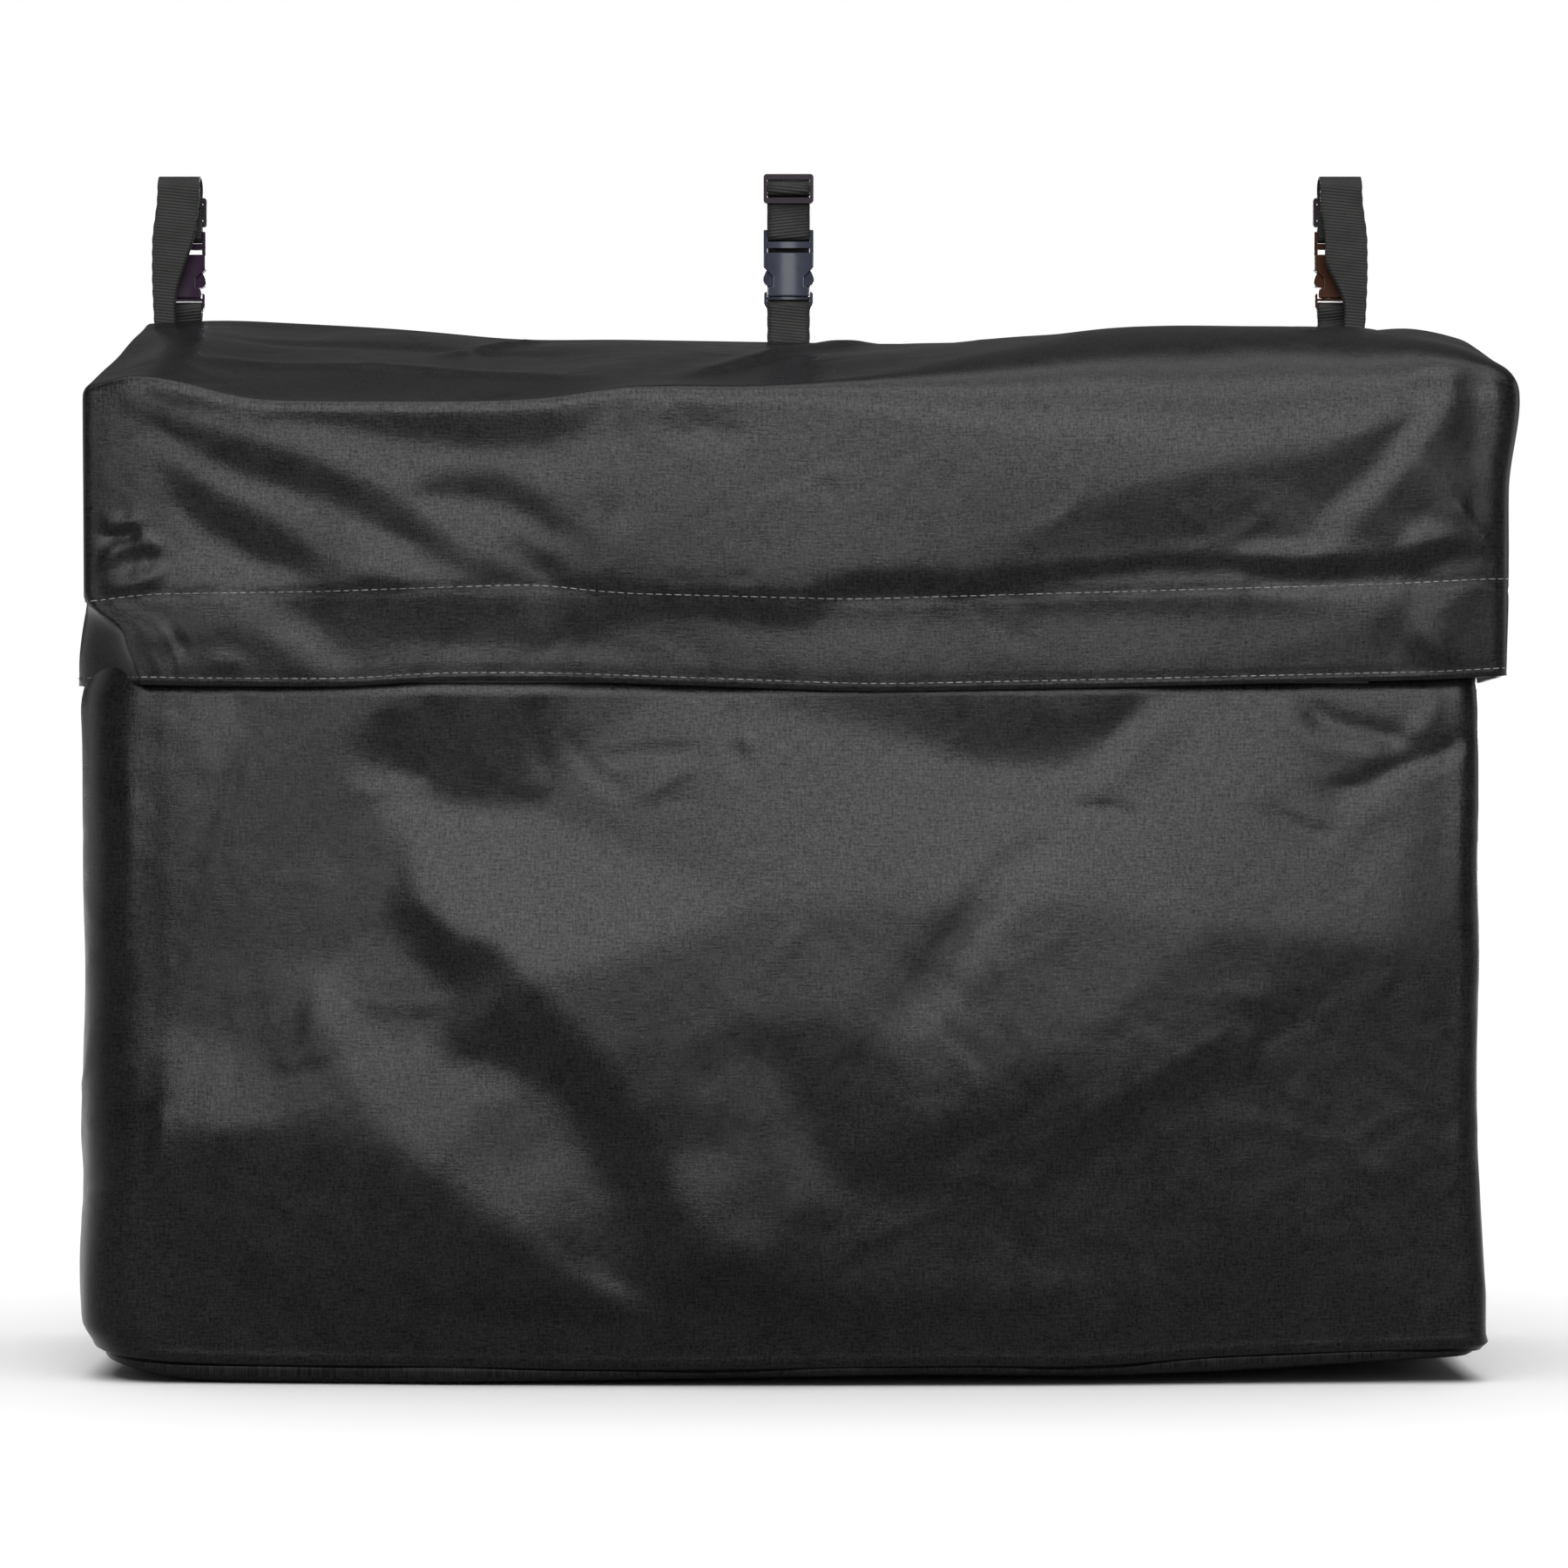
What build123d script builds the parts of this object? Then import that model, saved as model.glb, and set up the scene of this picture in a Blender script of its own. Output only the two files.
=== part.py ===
"""A large fabric pannier bag that hangs from a rack rail by three buckled webbing loops.

A soft box body with a stiffened back and base is closed by a box-shaped fabric lid, hinged along the top of
the back panel and held shut in front by hook-and-loop tape. Millimetres, +Z up, +X to the bag's left as worn
on its rail (the viewer's right, facing the front panel), and -Y towards the front. The origin is on the
ground, under the middle of the overall box.
"""

import os

from build123d import *

# --- fabric body -------------------------------------------------------------------------------------------
BODY_WIDTH = 620.0
BODY_DEPTH = 180.0  # back face to front corners
BODY_SHIFT = -6.0  # the lid sits a little to the right of the body
FRONT_CROWN = 12.0  # how far the front bulges past its corners
BACK_HEIGHT = 488.0
FRONT_HEIGHT = 433.0
FABRIC = 1.2  # coated cloth with its foam backing
SEAM_HEIGHT = 10.0  # the base rolls up this far to its seam
BASE_ROUND = 8.0
TOP_SLOPE = 50.0 / 180.0  # the mouth and the lid fall towards the front
MOUTH_HEM = 20.0
HEM_FABRIC = 1.0

# --- stiffeners --------------------------------------------------------------------------------------------
BOARD = 3.0
BOARD_MARGIN = 20.0
BOARD_TOP = 452.0
SLEEVE_MARGIN = 12.0
SLEEVE_FABRIC = 1.0
SLEEVE_PLAY = 0.2

# --- lid ---------------------------------------------------------------------------------------------------
LID_WIDTH = 637.4
LID_GAP = 5.0  # lid front to body front
LID_BOTTOM = 311.0
LID_RISE = 1.0  # lid cloth over the mouth's edge
LID_HEM = 41.0
HINGE_IN = 1.8  # hinge line in front of the back face
WING_BACK = 3.0

# --- hook-and-loop tape ------------------------------------------------------------------------------------
TAPE = 1.5
HOOK_TAPE_WIDTH = 30.0
LOOP_TAPE_WIDTH = 44.0
HOOK_TAPE_LENGTH = 500.0
LOOP_TAPE_LENGTH = 520.0
TAPE_MIDDLE = 334.0

# --- webbing straps ----------------------------------------------------------------------------------------
STRAP_X = {"left": -303.0, "centre": -5.5, "right": 264.0}
FACES_BACK = {"left": True, "centre": False, "right": True}  # which way the buckle faces
WEB_WIDTH = 20.0
WEB = 1.3
RAIL_RADIUS = 5.0  # a 10 mm rack tube
RAIL_BACK = 11.0  # rail axis behind the back face
RAIL_HEIGHT = 557.7
PIVOT_HEIGHT = 455.0  # where the webs leave their stitching
WEB_START = 0.3  # free web above the pivot
SEWN_TOP = 1.8  # sewn web below the pivot
SEWN_LENGTH = 50.0
LAYER_GAP = 0.15

# --- buckle, in its own frame: width along X, W up from its lower end, N out of its face ---------------------
BUCKLE_HEIGHT = 498.7  # the lower end's height
BUCKLE_WIDTH = 24.3
SHELL_HALF = 3.5
CAVITY_HALF = 2.3
MOUTH_W = 6.0
SHELL_TOP_W = 27.3
FRAME_TOP_W = 38.6
BAR_HALF = 1.0
WEB_CLEAR = 0.1
HAIRPIN = BAR_HALF + WEB_CLEAR + WEB / 2  # centreline radius of a web round a bar
LADDER_TURN_W = 35.5  # centre of the turn round the ladder's top bar
BASE_TURN_W = 1.8  # centre of the turn round the male half's bar
WEB_SLOT_HALF = 10.4

# --- slider ------------------------------------------------------------------------------------------------
SLIDER_HEIGHT = 14.2
SLIDER_THICK = 2.4
SLIDER_BAR = 2.6
SLIDER_SLOT = 2.9
SLIDER_CLEAR = 0.1
SLIDER_W = {"left": 41.5, "centre": 51.2, "right": 41.5}  # its lower edge on the buckle leg

# --- places worked out from the sizes above ------------------------------------------------------------------
SLIDER_OUT = WEB / 2 + SLIDER_CLEAR  # slider's inner face from the web's middle
FRONT_REACH = BODY_DEPTH + LID_GAP + FABRIC + FRONT_CROWN
FOLD_OUT = SLIDER_OUT + SLIDER_THICK + SLIDER_CLEAR + WEB / 2
BACK_REACH = RAIL_BACK + RAIL_RADIUS + WEB / 2 + FOLD_OUT + WEB / 2
BACK_Y = (FRONT_REACH - BACK_REACH) / 2
BODY_LEFT = BODY_SHIFT - BODY_WIDTH / 2
BODY_RIGHT = BODY_SHIFT + BODY_WIDTH / 2
HINGE_Z = BACK_HEIGHT + LID_RISE - HINGE_IN * TOP_SLOPE
LEG = RAIL_RADIUS + WEB / 2  # web's middle from the rail axis
WEB_FROM = PIVOT_HEIGHT + WEB_START


def forward(u):
    """Y of a plane u in front of the back face."""
    return BACK_Y - u


def behind(b):
    """Y of a plane b behind the back face."""
    return BACK_Y + b


def mouth_height(u):
    """Height of the body's upper edge, u in front of the back face."""
    return BACK_HEIGHT - u * TOP_SLOPE


def lid_height(u):
    """Height of the lid's underside, u in front of the back face."""
    return mouth_height(u) + LID_RISE


def slab(x0, x1, y0, y1, z0, z1):
    """A box between two corners."""
    return Pos((x0 + x1) / 2, (y0 + y1) / 2, (z0 + z1) / 2) * Box(abs(x1 - x0), abs(y1 - y0), abs(z1 - z0))


def side_plate(points, x0, x1):
    """A plate with its outline in the YZ plane, between two X planes."""
    return Pos(x0, 0, 0) * extrude(Plane.YZ * make_face(Polyline(*points, close=True)), x1 - x0)


def arc_face(x0, x1, u, thick):
    """A curved strip in plan: its inner ends lie u in front of the back face and it is crowned forward."""
    middle = (x0 + x1) / 2
    inner = ThreePointArc((x0, forward(u)), (middle, forward(u + FRONT_CROWN)), (x1, forward(u)))
    out = u + thick
    outer = ThreePointArc((x1, forward(out)), (middle, forward(out + FRONT_CROWN)), (x0, forward(out)))
    return make_face([inner, Line(inner @ 1, outer @ 0), outer, Line(outer @ 1, inner @ 0)])


def arc_wall(x0, x1, u, thick, z0, z1):
    """The strip of arc_face stood up between two heights."""
    return Pos(0, 0, z0) * extrude(arc_face(x0, x1, u, thick), z1 - z0)


def below_lid(u_from, u_to):
    """Everything under the lid's sloping underside."""
    outline = [(forward(u), lid_height(u)) for u in (u_from, u_to)]
    outline += [(forward(u_to), 0), (forward(u_from), 0)]
    return side_plate(outline, -LID_WIDTH, LID_WIDTH)


# --- fabric body -------------------------------------------------------------------------------------------
def body_plan(inset=0.0):
    """The body's plan outline, from the back face to the crowned front."""
    front = ThreePointArc(
        (BODY_RIGHT, forward(BODY_DEPTH)),
        (BODY_SHIFT, forward(BODY_DEPTH + FRONT_CROWN)),
        (BODY_LEFT, forward(BODY_DEPTH)),
    )
    back = Polyline(front @ 1, (BODY_LEFT, BACK_Y), (BODY_RIGHT, BACK_Y), front @ 0)
    plan = make_face([front, back])
    return offset(plan, -inset, kind=Kind.INTERSECTION) if inset else plan


def front_panel():
    return arc_wall(BODY_LEFT, BODY_RIGHT, BODY_DEPTH - FABRIC, FABRIC, SEAM_HEIGHT, FRONT_HEIGHT)


def back_panel():
    return slab(BODY_LEFT, BODY_RIGHT, forward(FABRIC), BACK_Y, SEAM_HEIGHT, BACK_HEIGHT)


def gusset(x0, x1):
    """A side wall, cut to the mouth's slope."""
    near, far = FABRIC, BODY_DEPTH - FABRIC
    outline = [
        (forward(near), SEAM_HEIGHT),
        (forward(far), SEAM_HEIGHT),
        (forward(far), mouth_height(far)),
        (forward(near), mouth_height(near)),
    ]
    return side_plate(outline, x0, x1)


def bottom_panel():
    """A shallow tray whose rolled edge rises to the seam."""
    outer = extrude(body_plan(), SEAM_HEIGHT)
    outer = fillet(outer.faces().sort_by(Axis.Z)[0].edges(), BASE_ROUND)
    inner = Pos(0, 0, FABRIC) * extrude(body_plan(FABRIC), SEAM_HEIGHT)
    inner = fillet(inner.faces().sort_by(Axis.Z)[0].edges(), BASE_ROUND - FABRIC)
    return outer - inner


def mouth_facing():
    """The doubled edge inside the mouth, a ring that follows the slope."""
    ring = extrude(body_plan(FABRIC) - body_plan(FABRIC + HEM_FABRIC), BACK_HEIGHT)
    reach = BODY_DEPTH + FRONT_CROWN
    drop = LID_RISE
    band = [
        (forward(0), mouth_height(0) - drop),
        (forward(reach), mouth_height(reach) - drop),
        (forward(reach), mouth_height(reach) - MOUTH_HEM),
        (forward(0), mouth_height(0) - MOUTH_HEM),
    ]
    return ring & side_plate(band, -LID_WIDTH, LID_WIDTH)


# --- stiffeners --------------------------------------------------------------------------------------------
def base_board():
    inset = BASE_ROUND + FABRIC + 1.0
    return Pos(0, 0, FABRIC) * extrude(body_plan(inset), BOARD)


def back_board():
    side = BOARD_MARGIN
    return slab(
        BODY_LEFT + side,
        BODY_RIGHT - side,
        forward(FABRIC + BOARD),
        forward(FABRIC),
        SEAM_HEIGHT + BOARD,
        BOARD_TOP,
    )


def back_board_sleeve():
    """A pocket sewn to the back panel round the board, open at its top."""
    side = SLEEVE_MARGIN
    pocket_u = FABRIC + BOARD + SLEEVE_PLAY
    whole = slab(
        BODY_LEFT + side,
        BODY_RIGHT - side,
        forward(pocket_u + SLEEVE_FABRIC),
        forward(FABRIC),
        SEAM_HEIGHT + 1.0,
        BOARD_TOP - 12.0,
    )
    room = slab(
        BODY_LEFT + BOARD_MARGIN - SLEEVE_PLAY,
        BODY_RIGHT - BOARD_MARGIN + SLEEVE_PLAY,
        forward(pocket_u),
        BACK_Y,
        SEAM_HEIGHT + BOARD - SLEEVE_PLAY,
        BACK_HEIGHT,
    )
    return whole - room


# --- lid ---------------------------------------------------------------------------------------------------
def lid_top():
    """The sloping top cloth, cut to the lid's crowned plan."""
    half = LID_WIDTH / 2
    reach = BODY_DEPTH + LID_GAP + FABRIC
    front = ThreePointArc((half, forward(reach)), (0, forward(reach + FRONT_CROWN)), (-half, forward(reach)))
    back = Polyline(front @ 1, (-half, forward(HINGE_IN)), (half, forward(HINGE_IN)), front @ 0)
    column = extrude(make_face([front, back]), BACK_HEIGHT * 2)
    ends = (HINGE_IN, reach + FRONT_CROWN + 1.0)
    under = [(forward(u), lid_height(u)) for u in ends]
    over = [(forward(u), lid_height(u) + FABRIC) for u in reversed(ends)]
    return column & side_plate(under + over, -LID_WIDTH, LID_WIDTH)


def lid_front():
    """The lid's front drop, with its deep hem turned inside."""
    half = LID_WIDTH / 2
    u = BODY_DEPTH + LID_GAP
    wall = arc_wall(-half, half, u, FABRIC, LID_BOTTOM, BACK_HEIGHT)
    inside = half - FABRIC - 0.1
    hem = arc_wall(-half, half, u - FABRIC, FABRIC, LID_BOTTOM, LID_BOTTOM + LID_HEM)
    hem &= slab(-inside, inside, -BACK_HEIGHT, BACK_HEIGHT, 0, BACK_HEIGHT)
    return (wall + hem) & below_lid(0, u + FRONT_CROWN * 2)


def lid_wing(x0, x1):
    """A side drop of the lid."""
    far = BODY_DEPTH + LID_GAP - FABRIC - 0.1
    outline = [
        (forward(WING_BACK), LID_BOTTOM),
        (forward(far), LID_BOTTOM),
        (forward(far), lid_height(far)),
        (forward(WING_BACK), lid_height(WING_BACK)),
    ]
    return side_plate(outline, x0, x1)


def loop_tape():
    """The soft tape, sewn to the body's front."""
    half, tall = LOOP_TAPE_LENGTH / 2, LOOP_TAPE_WIDTH / 2
    band = arc_wall(BODY_LEFT, BODY_RIGHT, BODY_DEPTH, TAPE, TAPE_MIDDLE - tall, TAPE_MIDDLE + tall)
    return band & slab(BODY_SHIFT - half, BODY_SHIFT + half, -BACK_HEIGHT, BACK_HEIGHT, 0, BACK_HEIGHT)


def hook_tape():
    """The stiff tape, sewn inside the lid's hem."""
    half, tall = HOOK_TAPE_LENGTH / 2, HOOK_TAPE_WIDTH / 2
    u = BODY_DEPTH + LID_GAP - FABRIC - TAPE
    band = arc_wall(-LID_WIDTH / 2, LID_WIDTH / 2, u, TAPE, TAPE_MIDDLE - tall, TAPE_MIDDLE + tall)
    return band & slab(-half, half, -BACK_HEIGHT, BACK_HEIGHT, 0, BACK_HEIGHT)


# --- webbing -----------------------------------------------------------------------------------------------
def web(lines, x):
    """Webbing whose middle follows these lines in the plane (distance behind the back face, height)."""
    face = trace(lines, line_width=WEB)
    return Pos(x - WEB_WIDTH / 2, BACK_Y, 0) * extrude(Plane.YZ * face, WEB_WIDTH)


def leg(points, radius):
    """Straight runs with rounded corners."""
    return FilletPolyline(*points, radius=radius) if len(points) > 2 else Line(*points)


def buckle_axis(name):
    """(distance of the buckle's middle plane behind the back face, the way it faces)."""
    way = 1 if FACES_BACK[name] else -1
    return RAIL_BACK + way * (LEG - HAIRPIN), way


def sewn_layers():
    """Middles of the inner and outer web where both are sewn to the back panel."""
    return WEB / 2, WEB * 1.5


def loop_web(name):
    """The long web: up from the stitching, over the rail, down to the buckle's ladder bar and back up."""
    axis, way = buckle_axis(name)
    inner, outer = sewn_layers()
    main = RAIL_BACK + way * LEG
    plain = RAIL_BACK - way * LEG
    if FACES_BACK[name]:
        rise = leg([(inner, WEB_FROM), (3.9, 520.0), (plain, 546.0), (plain, RAIL_HEIGHT)], 60.0)
    else:
        bow = [(outer, WEB_FROM), (10.6, 481.0), (14.2, 507.0), (plain, 534.0), (plain, RAIL_HEIGHT)]
        rise = leg(bow, 26.0)
    over = ThreePointArc((plain, RAIL_HEIGHT), (RAIL_BACK, RAIL_HEIGHT + LEG), (main, RAIL_HEIGHT))
    turn = BUCKLE_HEIGHT + LADDER_TURN_W
    drop = Line((main, RAIL_HEIGHT), (main, turn))
    far = axis - way * HAIRPIN
    hairpin = ThreePointArc((main, turn), (axis, turn - HAIRPIN), (far, turn))
    beside = main - way * (WEB + LAYER_GAP)
    tail_points = [(far, turn), (far, turn + 3.6), (beside, turn + 9.0), (beside, turn + 14.0)]
    tail = leg(tail_points, 3.0)
    return web([rise, over, drop, hairpin, tail], STRAP_X[name])


def anchor_web(name):
    """The short web: from the stitching to the male half's bar, with its end folded back."""
    axis, way = buckle_axis(name)
    inner, outer = sewn_layers()
    main = axis + way * HAIRPIN
    far = axis - way * HAIRPIN
    turn = BUCKLE_HEIGHT + BASE_TURN_W
    if FACES_BACK[name]:
        low, lean = (outer, WEB_FROM), (main, 494.0)
        end = (main - 5.6, 484.0)
    else:
        low, lean = (inner, WEB_FROM), (main, 492.0)
        end = (main + 0.45, 484.0)
    rise = leg([low, lean, (main, turn)], 12.0)
    hairpin = ThreePointArc((main, turn), (axis, turn + HAIRPIN), (far, turn))
    beside = main - way * (WEB + LAYER_GAP * 3)
    tail = leg([(far, turn), (far, turn - 2.6), (beside, turn - 7.4), end], 2.2)
    return web([rise, hairpin, tail], STRAP_X[name])


def strap_base(name):
    """The two web ends, one on the other, sewn flat to the back panel."""
    x, top = STRAP_X[name], PIVOT_HEIGHT - SEWN_TOP
    half = WEB_WIDTH / 2
    layers = [
        slab(x - half, x + half, behind(b - WEB / 2), behind(b + WEB / 2), top - SEWN_LENGTH, top)
        for b in sewn_layers()
    ]
    return Compound(children=layers)


# --- buckle and slider, built facing -Y with their lower end at the origin -----------------------------------
def front_plate(points, thick, corner=0.0):
    """A plate from a closed outline in the XZ plane, centred in thickness, with its corners rounded."""
    face = make_face(Polyline(*points, close=True))
    if corner:
        face = fillet(face.vertices(), corner)
    return extrude(Plane.XZ * face, thick / 2, both=True)


def mirrored(points):
    """A right-hand outline from bottom to top, closed by its mirror image."""
    return points + [(-x, w) for x, w in reversed(points)]


def centred(half_x, w0, w1, half_n):
    """A box about the buckle's middle plane."""
    return slab(-half_x, half_x, -half_n, half_n, w0, w1)


def buckle_female():
    """The socket half: a waisted shell with side windows, and a ladder of two bars for the web."""
    half = BUCKLE_WIDTH / 2
    outline = mirrored(
        [(9.9, MOUTH_W), (10.3, 9.2), (9.7, 10.6), (7.7, 10.9), (7.7, 15.6), (half, 20.2), (half, SHELL_TOP_W)]
    )
    shell = front_plate(outline, 2 * SHELL_HALF, 0.5)
    faces = shell.faces().sort_by(Axis.Y)
    shell = fillet(faces[0].edges() + faces[-1].edges(), 0.8)
    shell -= centred(8.6, 0, 19.6, CAVITY_HALF)
    shell -= centred(half - 1.5, 16.5, SHELL_TOP_W - 1.5, CAVITY_HALF)
    rails = mirrored([(half, SHELL_TOP_W - 1.0), (half, FRAME_TOP_W)])
    frame = front_plate(rails, 2.8, 0.6)
    frame -= centred(WEB_SLOT_HALF, SHELL_TOP_W, 29.8, SHELL_HALF)
    frame -= centred(WEB_SLOT_HALF, 32.8, 35.2, SHELL_HALF)
    for side in (-1, 1):
        recess = centred(WEB_SLOT_HALF, 35.2, FRAME_TOP_W + 1.0, BAR_HALF)
        frame -= Pos(0, side * 2 * BAR_HALF, 0) * recess
    return shell + frame


def buckle_male():
    """The plug half without its spring arms: web bar, cross bar, horns and guide tongue."""
    half = BUCKLE_WIDTH / 2 - 0.3
    block = front_plate(mirrored([(half - 1.2, 0), (half, 2.4), (half, 5.8)]), 3.6, 0.6)
    block -= centred(WEB_SLOT_HALF, 2.0, 4.6, SHELL_HALF)
    for side in (-1, 1):
        block -= Pos(0, side * 2.8, 0) * centred(WEB_SLOT_HALF, -1.0, 2.0, 2.8 - BAR_HALF)
    horns = [front_plate([(s * half, 5), (s * half, 7.6), (s * 10.9, 8.4), (s * 10.5, 8.4), (s * 10.5, 5)], 3.6)
             for s in (-1, 1)]
    tongue = front_plate(mirrored([(2.4, 5.0), (2.4, 20.0), (1.2, 22.0)]), 2.4)
    return block + horns + tongue


def latch_arm(side):
    """One spring arm: thumb pad through the window, catch on the mouth's side wall."""
    points = [(6.2, 5.8), (8.2, 5.8), (8.2, 11.2), (10.4, 11.2), (11.8, 12.1), (12.4, 13.6), (12.2, 15.4)]
    points += [(11.2, 17.8), (10.2, 19.4), (9.4, 24.0), (8.2, 24.4), (7.8, 20.0), (6.9, 15.0), (6.2, 11.0)]
    return front_plate([(side * x, w) for x, w in points], 2 * CAVITY_HALF - 0.4)


def slider():
    """A flat frame with three bars."""
    half = BUCKLE_WIDTH / 2
    outline = mirrored([(half, 0), (half, SLIDER_HEIGHT)])
    frame = front_plate(outline, SLIDER_THICK, 1.6)
    top = SLIDER_HEIGHT - SLIDER_BAR
    for w in (SLIDER_BAR, top - SLIDER_SLOT):
        frame -= centred(WEB_SLOT_HALF, w, w + SLIDER_SLOT, SLIDER_THICK)
    out = -(SLIDER_OUT + SLIDER_THICK / 2)
    return Pos(0, out, 0) * frame


def slider_fold():
    """The web's fold over the slider's middle bar."""
    over = SLIDER_HEIGHT / 2
    foot, shoulder = 3.1, 2.7
    arch = [(-0.8, over - foot), (-FOLD_OUT, over - shoulder), (-FOLD_OUT, over + shoulder), (-0.8, over + foot)]
    face = trace(leg(arch, 0.9), line_width=WEB)
    return Pos(-WEB_WIDTH / 2, 0, 0) * extrude(Plane.YZ * face, WEB_WIDTH)


def placed(shape, name, w, back):
    """Puts a part built facing -Y on a strap, w above the buckle's lower end."""
    turn = 180 if FACES_BACK[name] else 0
    return Pos(STRAP_X[name], behind(back), BUCKLE_HEIGHT + w) * Rot(0, 0, turn) * shape


# --- the nodes ---------------------------------------------------------------------------------------------
def nodes():
    half = LID_WIDTH / 2
    made = {
        "front_panel": front_panel(),
        "back_panel": back_panel(),
        "left_gusset": gusset(BODY_LEFT, BODY_LEFT + FABRIC),
        "right_gusset": gusset(BODY_RIGHT - FABRIC, BODY_RIGHT),
        "bottom_panel": bottom_panel(),
        "mouth_facing": mouth_facing(),
        "base_board": base_board(),
        "back_board": back_board(),
        "back_board_sleeve": back_board_sleeve(),
        "loop_tape": loop_tape(),
        "lid_top": lid_top(),
        "lid_front": lid_front(),
        "lid_left_wing": lid_wing(-half, -half + FABRIC),
        "lid_right_wing": lid_wing(half - FABRIC, half),
        "hook_tape": hook_tape(),
    }
    for name in STRAP_X:
        axis, way = buckle_axis(name)
        main = RAIL_BACK + way * LEG
        made[f"strap_base_{name}"] = strap_base(name)
        made[f"loop_web_{name}"] = loop_web(name)
        made[f"anchor_web_{name}"] = anchor_web(name)
        made[f"buckle_female_{name}"] = placed(buckle_female(), name, 0, axis)
        made[f"buckle_male_{name}"] = placed(buckle_male(), name, 0, axis)
        for side, word in ((-way, "west"), (way, "east")):
            made[f"latch_arm_{name}_{word}"] = placed(latch_arm(-side * way), name, 0, axis)
        made[f"slider_{name}"] = placed(slider(), name, SLIDER_W[name], main)
        made[f"slider_fold_{name}"] = placed(slider_fold(), name, SLIDER_W[name], main)
    return made


os.makedirs("parts", exist_ok=True)
for node, shape in nodes().items():
    export_step(shape, f"parts/{node}.step")
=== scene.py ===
"""The pannier bag's looks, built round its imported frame. Lengths are millimetres until a mesh is made."""

import math

import bmesh
import bpy
import numpy as np
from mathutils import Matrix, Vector
from mathutils.geometry import delaunay_2d_cdt


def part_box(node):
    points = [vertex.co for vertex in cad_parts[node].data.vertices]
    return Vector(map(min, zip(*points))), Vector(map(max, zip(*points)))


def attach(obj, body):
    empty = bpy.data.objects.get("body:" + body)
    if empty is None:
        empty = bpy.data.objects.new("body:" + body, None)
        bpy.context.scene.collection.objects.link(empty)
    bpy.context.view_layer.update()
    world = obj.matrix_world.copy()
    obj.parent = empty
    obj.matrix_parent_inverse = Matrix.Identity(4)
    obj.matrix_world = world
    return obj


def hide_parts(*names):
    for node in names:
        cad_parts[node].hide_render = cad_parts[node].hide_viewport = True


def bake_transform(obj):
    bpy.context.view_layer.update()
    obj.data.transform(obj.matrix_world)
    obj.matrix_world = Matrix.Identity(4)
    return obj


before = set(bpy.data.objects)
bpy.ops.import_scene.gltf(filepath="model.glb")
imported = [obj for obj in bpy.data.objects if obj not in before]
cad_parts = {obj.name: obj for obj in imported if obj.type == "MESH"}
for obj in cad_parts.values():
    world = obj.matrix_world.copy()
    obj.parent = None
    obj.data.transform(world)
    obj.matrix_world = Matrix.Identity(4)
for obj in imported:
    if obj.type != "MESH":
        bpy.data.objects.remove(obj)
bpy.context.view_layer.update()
MM = 0.001
CLOTH_THICKNESS = 1.2

# --- places taken from the frame ---------------------------------------------------------------------------


def low(node):
    """A node's lowest corner."""
    return np.array(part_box(node)[0]) / MM


def high(node):
    """A node's highest corner."""
    return np.array(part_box(node)[1]) / MM


BACK = high("back_panel")[1]
BODY_LEFT = low("front_panel")[0]
BODY_RIGHT = high("front_panel")[0]
BODY_FRONT = low("left_gusset")[1] - CLOTH_THICKNESS
CROWN = BODY_FRONT - low("front_panel")[1]
FRONT_TOP = high("front_panel")[2]
LID_HALF = high("lid_top")[0]
LID_BACK = high("lid_top")[1]
LID_FRONT = low("lid_left_wing")[1] - 4.0  # the lid's front hangs a little in front of its side drops
RAIL_BACK = 11.0  # the rail's middle, behind the back
STRAPS = {
    name: (low(f"loop_web_{name}")[0] + high(f"loop_web_{name}")[0]) / 2
    for name in ("left", "centre", "right")
}
# which buckles have their socket behind the plain leg of their web
FACES_BACK = {"left": True, "centre": False, "right": True}

# --- shaping ------------------------------------------------------------------------------------------------


def ease(start, end, value):
    """0 at start, 1 at end, smooth between them and level beyond them."""
    t = np.clip((value - start) / (end - start), 0, 1)
    return t * t * (3 - 2 * t)


def track(pairs, x, soft=0.0):
    """The height of a given outline at x."""
    xs, values = zip(*pairs)
    if not soft:
        return np.interp(x, xs, values)
    spread = np.linspace(-1.5, 1.5, 9)
    weights = np.exp(-0.5 * spread**2)
    return sum(w * np.interp(x + s * soft, xs, values) for w, s in zip(weights, spread)) / weights.sum()


def blur(values, cells):
    """A Gaussian blur along both axes."""
    reach = max(1, int(cells * 3))
    kernel = np.exp(-0.5 * (np.arange(-reach, reach + 1) / cells) ** 2)
    kernel /= kernel.sum()
    for axis in (0, 1):
        pad = [(reach, reach) if i == axis else (0, 0) for i in (0, 1)]
        padded = np.pad(values, pad, mode="edge")
        values = np.apply_along_axis(np.convolve, axis, padded, kernel, "valid")
    return values


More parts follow.
